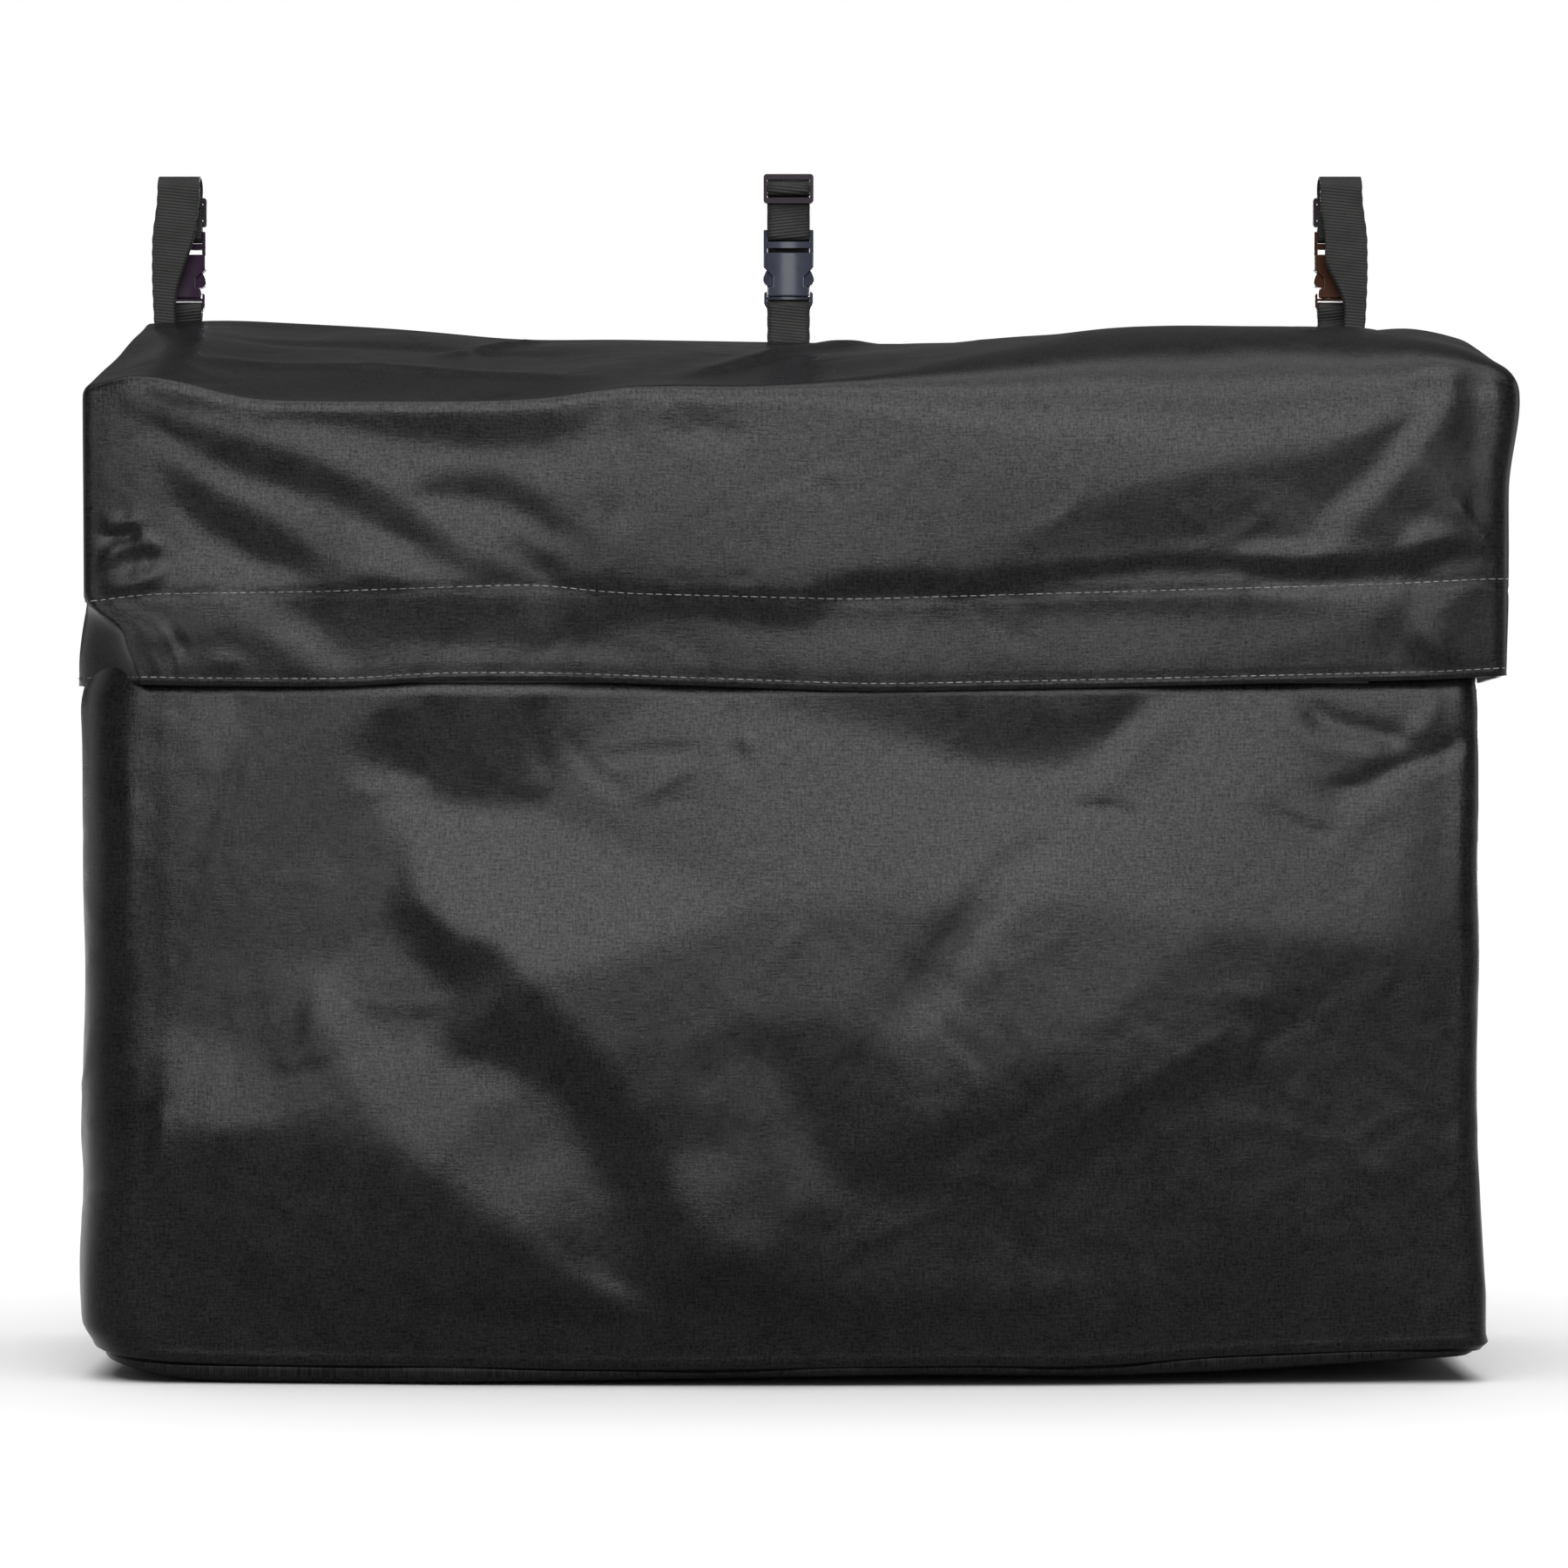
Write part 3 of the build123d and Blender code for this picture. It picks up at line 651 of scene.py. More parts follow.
def lid_profile(x):
    """One column of the lid before folding: up its front, over its shoulder and back along its top."""
    front = LID_FRONT - CROWN * (1 - (x / LID_HALF) ** 2)
    hem, ridge, back = track(HEM_LINE, x, 14), track(RIDGE_LINE, x, 12), track(BACK_LINE, x, 20)
    down, over = track(SHOULDER_DOWN, x, 12), track(SHOULDER_BACK, x, 12)
    rise = (back - ridge) / (LID_BACK - front)
    t = np.linspace(0, 1, FRONT_ROWS, endpoint=False)
    face = [front - LID_LEAN * t, hem + (ridge - down - hem) * t]
    front = front - LID_LEAN
    start, height = front + over, ridge + over * rise
    t = np.linspace(0, 1, SHOULDER_ROWS, endpoint=False)
    bend = [front + over * t**2, arc_between(ridge - down, ridge, height, t)]
    t = np.linspace(0, 1, TOP_ROWS)
    top = [start + (LID_BACK - start) * t, height + (back - height) * t]
    return np.concatenate([np.stack(part, -1) for part in (face, bend, top)])


def plain_lid(xs, rolls):
    """The lid's front and top before folding, with its side edges rolled back."""
    profiles = np.stack([lid_profile(x) for x in xs])
    slope = np.gradient(profiles, axis=1)
    slope /= np.linalg.norm(slope, axis=-1, keepdims=True)
    inward = np.stack([slope[..., 1], -slope[..., 0]], -1)
    profiles = profiles + inward * rolls[:, None, None]
    return np.concatenate([np.broadcast_to(xs[:, None, None], profiles.shape[:2] + (1,)), profiles], -1)


def lid_lift(points):
    """How far each point of the lid stands out from the plain sheet."""
    x, y, z = np.moveaxis(points, -1, 0)
    row = np.broadcast_to(np.arange(points.shape[1]), z.shape)
    on_front = 1 - ease(FRONT_ROWS + SHOULDER_ROWS * 0.35, FRONT_ROWS + SHOULDER_ROWS, row)
    lift = 1.35 * Relief(LID_FOLDS, *LID_AREA, 3.0)(x, z) * on_front
    lift += lid_details(x, z) * on_front
    lift += lid_top_folds(x, y) * (1 - on_front)
    lift *= 0.25 + 0.75 * ease(0, 14, LID_HALF - np.abs(x))
    last = len(row[0]) - 1
    return lift * (1 - ease(last - 7, last, row))


def draw_in(points, plain, rolls):
    """Tucks the front's lower left corner under, and draws its right edge in a little."""
    x, _, z = np.moveaxis(plain, -1, 0)
    tuck = (1 - ease(332, 350, z)) * (1 - ease(-LID_HALF, -262, x))
    before = points[..., 0].copy()
    points[..., 0] += (19 + 7 * (1 - ease(311, 334, z))) * tuck
    points[..., 1] -= CROWN * (before**2 - points[..., 0] ** 2) / LID_HALF**2
    points[..., 0] -= 4.6 * (1 - ease(396, 438, z)) * ease(262, LID_HALF, x)
    points[..., 1] -= (rolls[:, None] + 1.2) * tuck


def lid_sheet():
    """The lid's front and top as one folded sheet, and each point's place on the cloth."""
    xs, rolls = lid_columns()
    plain = plain_lid(xs, rolls)
    run = run_along(plain)
    across = np.broadcast_to(run_along(np.column_stack([xs, rolls]))[:, None], run.shape)
    points = plain + normals(plain) * lid_lift(plain)[..., None]
    draw_in(points, plain, rolls)
    return points, np.stack([across, run], -1)


# Small folds on the lid's front.
LID_CREASES = [
    ([(-312, 379), (-303, 376), (-291, 378)], -1.6, 2.6),
    ([(-312, 385), (-302, 382), (-290, 384)], 1, 3),
    ([(-312, 358), (-303, 371), (-288, 374), (-279, 367)], 1, 3),
    ([(-279, 366), (-288, 358), (-302, 355), (-312, 356)], 0.9, 3),
    ([(-301, 364), (-292, 366), (-284, 367)], -0.8, 3.2),
    ([(-86, 436), (-85, 418), (-86, 385)], 0.5, 4, 0.4),
    ([(-81, 434), (-79, 412), (-80, 375)], -0.4, 4, 0.4),
    ([(-64, 424), (-45, 421), (-22, 420)], -0.5, 6),
    ([(-59, 359), (-52, 356), (-45, 358)], -0.3, 3.2),
    ([(-34, 360), (-27, 357), (-20, 359)], -0.3, 3.4),
    ([(289, 393), (299, 382), (312, 367)], 0.9, 2.8, 0.3),
    ([(-287, 334), (-280, 330), (-272, 326)], -0.6, 3.6),
    ([(-262, 318), (-255, 322), (-246, 318)], 0.5, 3.4),
]


def lid_details(x, z):
    """Small folds and stitched-in grooves on the lid's front."""
    band = track(BAND_LINE, x, 10)
    hem = track(HEM_LINE, x, 14)
    lift = -0.32 * np.exp(-(((z - band) / 1.7) ** 2))
    lift -= 0.35 * np.exp(-(((z - hem - STITCH_IN) / 1.5) ** 2))
    pucker = np.sin(x * math.tau / 13 + 2 * np.sin(x / 23)) * 0.10 + np.sin(x * math.tau / 31) * 0.16
    lift += pucker * np.exp(-np.maximum(z - band, 0) / 9) * (z > band)
    lift += 0.6 * pucker * np.exp(-(((z - hem) / 9) ** 2))
    lift += strokes(x, z, LID_CREASES)
    lift += crumple(x, z, 5, 110, (-318, 315, 318, 470), height=(0.05, 0.28))
    lift += swell(x, z, 3, height=0.25)
    return lift


# Shallow folds on the lid's top.
LID_TOP_FOLDS = [
    ([(-62, -96), (-20, -40), (10, 10), (40, 70)], 3.5, 9, 0.5),
    ([(-170, -20), (-150, 20), (-118, 72)], 2.2, 6, 0.4),
    ([(-300, -60), (-240, -40), (-150, -50), (-80, -80)], 1.6, 7),
    ([(-290, 10), (-200, 20), (-90, 0)], -1.4, 8),
    ([(70, 50), (140, 45), (240, 60)], -2.2, 16),
    ([(230, -60), (262, -20), (300, 60)], -2, 8),
]


def lid_top_folds(x, y):
    """Shallow folds on the lid's top."""
    arch = np.sin(np.clip((y - LID_FRONT) / (LID_BACK - LID_FRONT), 0, 1) * math.pi)
    lift = 3.5 * arch
    lift += strokes(x, y, LID_TOP_FOLDS)
    lift -= 7.0 * (1 - ease(-LID_HALF, -276, x)) * arch
    lift += crumple(x, y, 8, 60, (-310, -100, 310, 80))
    lift += swell(x, y, 12, height=0.7)
    return lift


def coons(left, right, bottom, top):
    """A surface across four edges: left and right run up, bottom and top run across."""
    u = np.linspace(0, 1, len(bottom))[:, None, None]
    v = np.linspace(0, 1, len(left))[None, :, None]
    sides = (1 - u) * left[None] + u * right[None]
    ends = (1 - v) * bottom[:, None] + v * top[:, None]
    low_edge = (1 - u) * bottom[0] + u * bottom[-1]
    high_edge = (1 - u) * top[0] + u * top[-1]
    return sides + ends - (1 - v) * low_edge - v * high_edge


# Folds down the lid's side drops.
WING_FOLDS = [
    ([(-70, 470), (-40, 420), (-20, 360), (-15, 315)], 3, 12),
    ([(0, 440), (20, 390), (40, 330)], -3, 12),
    ([(60, 470), (66, 400), (60, 320)], 2, 9),
]


def hung_wing(sheet, side):
    """A side drop of the lid before folding, and how freely each row of it hangs below the top."""
    edge = sheet[0 if side < 0 else -1]
    left, top = edge[: FRONT_ROWS + 1], edge[FRONT_ROWS:]
    outer = side * (LID_HALF - 0.5)
    back_low = np.array([outer, LID_BACK, low("lid_left_wing")[2] + (1 if side < 0 else 3)])
    t = np.linspace(0, 1, len(left))[:, None]
    right = back_low * (1 - t) + top[-1] * t
    t = np.linspace(0, 1, len(top))[:, None]
    bottom = left[0] * (1 - t) + back_low * t
    points = coons(left, right, bottom, top)
    full = left[None, :, 0] + (outer - left[None, :, 0]) * ease(0, 0.22, t)
    hung = ease(1, 0.85, np.linspace(0, 1, len(left)))[None]
    points[..., 0] += (full - points[..., 0]) * hung
    return points, hung


def lid_wing(sheet, side):
    """A side drop of the lid, hung from the front sheet's edge. side is -1 on the left."""
    points, hung = hung_wing(sheet, side)
    _, y, z = np.moveaxis(points, -1, 0)
    inner = np.minimum(ease(0, 22, y - LID_FRONT + 4), ease(0, 16, LID_BACK - y))
    lift = strokes(y, z, WING_FOLDS)
    lift += crumple(y, z, 21 + side, 50, (-90, 315, 80, 470))
    lift += swell(y, z, 30 + side, height=0.8)
    lift -= 0.8 * np.exp(-(((z - WING_BAND) / 1.6) ** 2))
    points[..., 0] += side * lift * inner * hung
    if side < 0:
        flare = (1 - ease(318, 378, z)) * ease(-100, -68, y) * (1 - ease(40, 88, y))
        points[..., 0] -= 8.5 * flare
    run = run_along(points.swapaxes(0, 1)).T
    return points, np.stack([run, z], -1)


def build_lid():
    """The whole lid skin."""
    sheet, uv = lid_sheet()
    wings = [lid_wing(sheet, side) for side in (-1, 1)]
    lid = join_patches("lid_skin", [(sheet, uv), *wings], [CLOTH, LINING])
    soften_corners(lid)
    thicken(lid, 1.4, lined=True)
    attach(lid, "lid")
    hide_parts("lid_top", "lid_front", "lid_left_wing", "lid_right_wing")
    return lid, sheet, wings


def soften_corners(lid):
    """Relaxes the cloth round the lid's two front corners and down its side edges."""
    work = bmesh.new()
    work.from_mesh(lid.data)
    work.verts.ensure_lookup_table()
    across = [v.co.x / MM for v in work.verts]
    edge = [x < -LID_HALF + LEFT_ROLL * 1.6 or x > LID_HALF - RIGHT_ROLL * 1.6 for x in across]
    chosen = [v for v, near in zip(work.verts, edge) if near and not v.is_boundary]
    for _ in range(6):
        bmesh.ops.smooth_vert(
            work, verts=chosen, factor=0.5, use_axis_x=True, use_axis_y=True, use_axis_z=True
        )
    work.to_mesh(lid.data)
    work.free()


# --- the body -----------------------------------------------------------------------------------------------

# Outlines seen from the front, as (across, height).
SEAM_LINE = [(-320, 14), (-298, 11.5), (-250, 9.5), (-188, 9.5), (-75, 8), (0, 9), (60, 10), (134, 9.5),
             (172, 13), (204, 14.5), (310, 17)]
BASE_LINE = [(-316, 8), (-298, 4), (-270, 0.5), (-240, 0), (-160, 0), (-57, 2.5), (57, 4.5), (134, 3.5),
             (200, 6), (302, 12)]
BACK_SEAM = 10.0  # the base seam's height round the back
BODY_ROWS = 128
FRONT_LEFT_ROUND, FRONT_RIGHT_ROUND, BACK_ROUND = 38.0, 13.0, 10.0


def body_plan():
    """(points, outward normals, run) round the body, from the left end of its front."""
    points = []

    def front_at(x):
        """The crowned front's place at x."""
        middle, half = (BODY_LEFT + BODY_RIGHT) / 2, (BODY_RIGHT - BODY_LEFT) / 2
        return BODY_FRONT - CROWN * (1 - ((x - middle) / half) ** 2)

    def arc(x, y, radius, start):
        """A quarter turn about a middle, from a starting angle."""
        for angle in np.radians(np.linspace(start, start + 90, max(6, int(radius / 2)), endpoint=False)):
            points.append((x + radius * math.cos(angle), y + radius * math.sin(angle)))

    def run(start, end, gap=5.0):
        """A straight side."""
        count = int(math.dist(start, end) / gap)
        points.extend(np.linspace(start, end, count, endpoint=False).tolist())

    left, right = BODY_LEFT + FRONT_LEFT_ROUND, BODY_RIGHT - FRONT_RIGHT_ROUND
    for x in np.linspace(left, right, int((right - left) / 2.8), endpoint=False):
        points.append((x, front_at(x)))
    arc(right, front_at(right) + FRONT_RIGHT_ROUND, FRONT_RIGHT_ROUND, -90)
    run((BODY_RIGHT, front_at(right) + FRONT_RIGHT_ROUND), (BODY_RIGHT, BACK - BACK_ROUND))
    arc(BODY_RIGHT - BACK_ROUND, BACK - BACK_ROUND, BACK_ROUND, 0)
    run((BODY_RIGHT - BACK_ROUND, BACK), (BODY_LEFT + BACK_ROUND, BACK), 9.0)
    arc(BODY_LEFT + BACK_ROUND, BACK - BACK_ROUND, BACK_ROUND, 90)
    run((BODY_LEFT, BACK - BACK_ROUND), (BODY_LEFT, front_at(left) + FRONT_LEFT_ROUND))
    arc(left, front_at(left) + FRONT_LEFT_ROUND, FRONT_LEFT_ROUND, 180)
    p = np.array(points)
    tangent = np.roll(p, -1, axis=0) - np.roll(p, 1, axis=0)
    n = np.stack([tangent[:, 1], -tangent[:, 0]], -1)
    n /= np.linalg.norm(n, axis=1, keepdims=True)
    return p, n, run_along(p)


def seam_height(plan):
    """The height of the base seam round the body."""
    return np.where(plan[:, 1] < 0, track(SEAM_LINE, plan[:, 0], 20), BACK_SEAM)


BODY_AREA = (-340, -10), (330, 500)  # two corners

# The body front's broad folds, under the lid and down to its seam: lines of (across, up, height).
BODY_FOLDS = [
    [(-340, -10, 0), (-340, 500, 0)],
    [(330, -10, 0), (330, 500, 0)],
    [(-340, 440, 0), (0, 440, 0), (330, 440, 0)],
    [(-316, 10, 0.5), (-200, 8, 0), (-75, 5, 0), (0, 5, 0), (172, 8, 0), (304, 12, 0.5)],
    [(-316, -5, 0), (0, -5, 0), (304, -5, 0)],
    [(-300, 330, 1), (-200, 330, 4), (-100, 330, 4), (0, 330, 3), (100, 330, 4), (200, 330, 2),
     (290, 330, 1)],
    # under the flap: slack pockets between the brighter stretches
    [(-250, 306, 2.5), (-200, 311, 4.7), (-168, 311, 5.4), (-140, 311, 5.4), (-112, 311, 5.4)],
    [(-172, 268, 1.2), (-158, 256, 0.8), (-122, 255, 0.8), (-109, 268, 1.6)],
    [(-104, 311, 2.5), (-60, 311, 2.5), (-36, 311, 2.5)],
    [(-30, 307, 4), (30, 309, 4.7), (60, 311, 5.6), (142, 311, 5.6)],
    [(50, 286, 3.6), (75, 276, 2.8), (116, 275, 2.8), (135, 290, 3.4)],
    [(160, 311, 3.7), (220, 311, 2.6), (285, 311, 2)],
    # the crest along the foot of the bright upper front
    [(-172, 249, 5), (-166, 215, 8.5), (-152, 200, 10.5), (-132, 195, 11.5), (-120, 180, 12.5),
     (-98, 153, 13), (-75, 124, 12.5), (-60, 106, 11.5)],
    [(-56, 128, 12.5), (-50, 150, 12.5), (-31, 163, 12.5), (18, 163, 13), (38, 148, 13), (50, 132, 13.5),
     (60, 116, 13.5), (76, 122, 13), (107, 146, 13), (142, 167, 13), (161, 188, 12.5), (179, 203, 12),
     (229, 200, 10.5), (259, 196, 9), (289, 194, 7)],
    [(-20, 215, 11), (60, 215, 11), (120, 220, 10.5)],
    # the left side: slack cloth round the big corner
    [(-262, 278, 4.2), (-269, 249, 4.4), (-274, 219, 4.6), (-280, 190, 4.6), (-288, 153, 4.4),
     (-292, 135, 4)],
    [(-254, 286, 2.8), (-257, 260, 2.8), (-264, 226, 3), (-271, 194, 3.4), (-282, 158, 3.6)],
    [(-236, 290, 3.4), (-240, 240, 3.4), (-240, 190, 4.4), (-244, 150, 6)],
    [(-205, 285, 5), (-205, 240, 4.8), (-214, 190, 5.2), (-226, 150, 8)],
    [(-184, 250, 4.6), (-186, 214, 4.6), (-172, 196, 5), (-158, 180, 5.6)],
    # the dark trough and the bright wedge under it
    [(-198, 168, 7), (-161, 150, 6.8), (-121, 141, 6.2), (-107, 135, 6), (-95, 108, 5.5), (-81, 77, 5),
     (-75, 40, 3.5)],
    [(-214, 165, 9.5), (-200, 135, 11), (-166, 97, 12.5), (-125, 67, 11.5), (-78, 36, 7)],
    [(-276, 118, 8.5), (-262, 112, 9.5), (-225, 118, 10.5)],
    [(-296, 112, 5), (-292, 90, 6.5), (-284, 75, 5.5)],
    # the second wedge
    [(-27, 148, 12), (-14, 112, 12.5), (0, 80, 12.5), (18, 37, 6)],
    [(-54, 82, 13), (-44, 66, 14), (-22, 56, 14), (0, 42, 9)],
    [(-8, 138, 11), (8, 106, 9.4), (24, 78, 7.6), (46, 82, 7.6), (62, 98, 9)],
    # faint ridges in the dark lower right
    [(68, 108, 9), (98, 109, 10)],
    [(90, 104, 10), (137, 128, 12), (166, 148, 12), (194, 163, 11)],
    [(110, 95, 7.5), (160, 122, 8.5), (210, 146, 9)],
    [(100, 60, 5.5), (200, 80, 6.5), (280, 100, 5)],
    [(-200, 40, 5), (0, 30, 3.5), (150, 40, 4)],
]


# Creases on the body's front.
BODY_CREASES = [
    ([(-33, 306), (-30, 288), (-31, 272)], -1, 2.6, 0.3),
    ([(-30, 290), (-24, 286), (-20, 280)], 0.6, 2.4),
    ([(-30, 284), (-26, 276), (-24, 268)], -0.6, 2.2),
    ([(-107, 294), (-96, 274), (-73, 258)], -0.6, 3.4, 0.3),
    ([(-104, 284), (-95, 270), (-78, 259)], 0.3, 3.2),
    ([(-73, 258), (-60, 268), (-44, 277)], 0.6, 3),
    ([(-92, 277), (-66, 281), (-40, 280)], -0.6, 2.6),
    ([(-116, 306), (-118, 290), (-112, 270)], -0.9, 3.4, -0.3),
    ([(-184, 300), (-180, 280), (-178, 266)], -0.6, 3.6),
    ([(-204, 264), (-176, 264), (-160, 266)], 0.5, 2),
    ([(-128, 266), (-118, 266), (-110, 264)], 0.4, 2),
    ([(122, 252), (96, 231), (80, 214), (66, 195), (50, 172), (36, 150)], -1.1, 10),
    ([(96, 222), (80, 206), (66, 180), (57, 156)], -0.5, 6),
    ([(108, 244), (84, 226), (64, 200), (50, 182)], -0.25, 3.4),
    ([(172, 304), (150, 284), (136, 270), (120, 258)], 0.7, 8),
    ([(150, 304), (138, 286), (122, 266)], -0.6, 5),
    ([(112, 257), (130, 255), (152, 252)], -0.8, 2.2, 0.4),
    ([(60, 262), (90, 258), (118, 258)], -0.4, 2.8),
    ([(218, 306), (234, 294), (256, 288), (280, 284)], -1.3, 4.6, 0.3),
    ([(208, 306), (226, 286), (250, 281), (268, 278)], 0.6, 5),
    ([(299, 306), (292, 284), (266, 274), (246, 264), (218, 263)], -1.5, 4.6, -0.3),
    ([(284, 306), (276, 292), (262, 284)], 0.7, 4.5),
    ([(201, 256), (216, 249), (238, 240)], -0.9, 2.6, 0.3),
    ([(270, 262), (250, 252), (238, 240)], 0.4, 5),
    ([(60, 112), (92, 104), (137, 127), (168, 146), (200, 165)], 0.5, 3),
    ([(57, 131), (68, 122), (84, 108)], 0.35, 2.8),
    ([(0, 42), (20, 60), (48, 74), (70, 84)], 0.45, 3),
    ([(6, 60), (30, 72), (44, 80)], 0.35, 2.6),
    ([(-200, 172), (-176, 168), (-150, 172)], 0.3, 2.6),
    ([(-255, 286), (-262, 255), (-271, 215), (-279, 180), (-284, 150)], 0.8, 2, 0.4),
    ([(-246, 290), (-254, 262), (-262, 228)], -0.5, 2.4),
    ([(-287, 128), (-283, 112), (-286, 92)], 0.9, 3.6, 0.3),
    ([(-300, 300), (-296, 240), (-300, 180)], 0.7, 2.2),
    ([(-232, 150), (-226, 143), (-216, 148), (-208, 143)], 0.5, 2.4),
    ([(-48, 152), (-42, 140), (-44, 128)], -0.3, 4),
    ([(292, 210), (296, 190), (293, 165), (297, 140)], 0.7, 2.6),
    ([(289, 120), (292, 100), (288, 82)], 0.7, 3),
]


def body_front_details(x, z):
    """Creases on the body's front."""
    lift = strokes(x, z, BODY_CREASES)
    lift += crumple(x, z, 41, 190, (-316, 20, 304, 310), height=(0.05, 0.22))
    lift += crumple(x, z, 43, 90, (60, 60, 304, 180), length=(25, 80), height=(0.08, 0.3))
    lift += crumple(x, z, 47, 60, (-316, 60, -230, 310), length=(12, 40), height=(0.05, 0.18))
    lift += swell(x, z, 44, height=0.22)
    return lift


# A side wall's loose folds.
SIDE_FOLDS = [
    ([(-10, 300), (-6, 200), (-14, 90), (-8, 30)], -5, 26),
    ([(-60, 300), (-50, 240), (-56, 170)], -2, 6),
    ([(40, 280), (50, 190), (40, 90)], 2.4, 12),
    ([(-70, 130), (-40, 90), (10, 60), (60, 40)], 2.4, 9),
    ([(70, 230), (30, 150), (-10, 110)], -1.8, 7),
]


def side_folds(y, z, seed):
    """A side wall's loose folds."""
    lift = strokes(y, z, SIDE_FOLDS)
    lift += crumple(y, z, seed, 90, (-90, 20, 85, 430))
    return lift + swell(y, z, seed + 1, height=0.9)


def back_folds(x, z):
    """The back is held flat by its board, so its cloth only ripples."""
    lift = crumple(x, z, 61, 80, (-310, 20, 300, 480), height=(0.1, 0.3))
    lift += swell(x, z, 62, height=0.35)
    return np.clip(lift, -0.2, 1.2) + 0.3


def wall_lift(outward, x, y, z, hem):
    """How far each point of the body's wall stands out. hem is the height above the base seam."""

    def facing(start, end, way):
        """How much each column faces one way."""
        return np.broadcast_to(ease(start, end, way)[:, None], z.shape)

    front, rear = facing(0.25, 0.95, -outward[:, 1]), facing(0.5, 0.98, outward[:, 1])
    left, right = facing(0.15, 0.9, -outward[:, 0]), facing(0.15, 0.9, outward[:, 0])
    folds = 1.12 * Relief(BODY_FOLDS, *BODY_AREA, 4.5)(x, z)
    under_flap = ease(309.6, 313, z)
    lift = front * (folds + body_front_details(x, z) - 2.0 * under_flap)
    lift += rear * back_folds(x, z)
    tall = ease(6, 26, z) * (1 - ease(400, 440, z))
    bulge = 9.5 * (1 - ease(302, 340, z)) - 2.5 * ease(310, 345, z)
    held = ease(300, 332, z)
    lift += left * tall * (side_folds(y, z, 71) * (1 - 0.7 * held) + bulge)
    lift += right * tall * (side_folds(y, z, 75) * 0.8 * (1 - 0.6 * held) - 2.0)
    lift += right * 4.0 * (1 - ease(20, 110, z)) * ease(0, 16, z)
    lift *= 1 - ease(418, 434, z)
    lift += 0.7 * np.exp(-(((hem - 1.0) / 1.6) ** 2)) * (1 - rear)
    return lift - 3.0 * np.exp(-(((hem + 2.5) / 1.5) ** 2)) * (1 - rear)


def body_skin():
    """(points, cloth places, outward normals) of the body's wall as a ring of columns."""
    plan, outward, run = body_plan()
    x, y = plan.T
    t = np.clip((BACK - y) / (BACK - BODY_FRONT), 0, 1)
    rear_top = track(BACK_LINE, x, 20) - 4
    top = rear_top + (FRONT_TOP - rear_top) * t
    seam = seam_height(plan)
    below = 2.5  # how far the wall runs on down behind the base's rolled edge
    v = np.linspace(0, 1, BODY_ROWS)[None]
    z = seam[:, None] - below + (top - seam + below)[:, None] * v
    x, y = np.broadcast_to(x[:, None], z.shape), np.broadcast_to(y[:, None], z.shape)
    lift = wall_lift(outward, x, y, z, z - seam[:, None])
    points = np.stack([x + outward[:, :1] * lift, y + outward[:, 1:] * lift, z], -1)
    return points, np.stack([np.broadcast_to(run[:, None], z.shape), z], -1), outward


def build_body():
    """The body's wall, lined inside, and the facing round its mouth."""
    points, uv, outward = body_skin()
    loop = np.concatenate([points, points[:1]])
    around = np.concatenate([uv, uv[:1] + [uv[-1, 0, 0] + 2.6, 0]])
    body = join_patches("body_skin", [(loop, around)], [CLOTH, LINING])
    thicken(body, CLOTH_THICKNESS, lined=True)
    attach(body, "bag")
    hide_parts("front_panel", "back_panel", "left_gusset", "right_gusset")
    mouth = slice(-8, -1)
    inward = -np.pad(np.vstack([outward, outward[:1]]), ((0, 0), (0, 1)))[:, None]
    facing = join_patches("mouth_facing_skin", [(loop[:, mouth] + inward * 1.6, around[:, mouth])], [LINING])
    thicken(facing, 0.8)
    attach(facing, "bag")
    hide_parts("mouth_facing")
    return points


BASE_DEPTH = 180
BASE_RINGS = [  # (distance in from the wall, share of the seam's height, extra height)
    (2.4, 1.0, 1.5), (1.9, 0.75, 0), (2.0, 0.45, 0), (3.2, 0.2, 0), (5.6, 0.04, 0), (9.0, 0, 0), (40, 0, 0)
]


def build_base():
    """The base: a rolled rim that tucks up behind the seam, round a flat bottom."""
    plan, outward, run = body_plan()
    seam = seam_height(plan)
    sag = 0.6 * np.sin(plan[:, 0] / 31) + 0.4 * np.sin(plan[:, 0] / 13 + 1)
    lifted = track(BASE_LINE, plan[:, 0], 10) * (1 - ease(-60, 60, plan[:, 1]))
    points, places = [], []
    for inset, share, up in BASE_RINGS:
        p = plan - outward * (inset - sag[:, None] * (share > 0.1))
        near = 1 - inset / BASE_DEPTH
        points.append(np.column_stack([p, seam * share + up + lifted * (1 - share) * near]))
        places.append(np.column_stack([run, np.full(len(run), -inset * 2)]))
    grid, uv = np.stack(points, 1), np.stack(places, 1)
    faces = patch_faces(grid.shape[:2], closed=True).tolist()
    last = len(BASE_RINGS) - 1
    faces.append([i * len(BASE_RINGS) + last for i in range(len(plan))])
    base = mesh_object("base_skin", grid.reshape(-1, 3), faces, uv.reshape(-1, 2), [CLOTH, LINING])
    face_outwards(base)
    if sum(p.normal.z * p.area for p in base.data.polygons) > 0:
        base.data.flip_normals()
    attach(base, "bag")
    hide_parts("bottom_panel")
    base_board(plan - outward * 8, lifted * (1 - 8 / BASE_DEPTH))


def base_board(rim, level):
    """The board that lies on the base, with a rim and a height for each point of it."""
    verts = np.vstack([np.column_stack([rim, level + up]) for up in (1.4, 4.2)])
    count = len(rim)
    walls = [(i, (i + 1) % count, count + (i + 1) % count, count + i) for i in range(count)]
    faces = walls + [range(count), range(count, 2 * count)]
    board = mesh_object("base_board_rounded", verts, faces, None, [BOARD])
    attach(board, "bag")
    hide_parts("base_board")


# --- stitching ----------------------------------------------------------------------------------------------


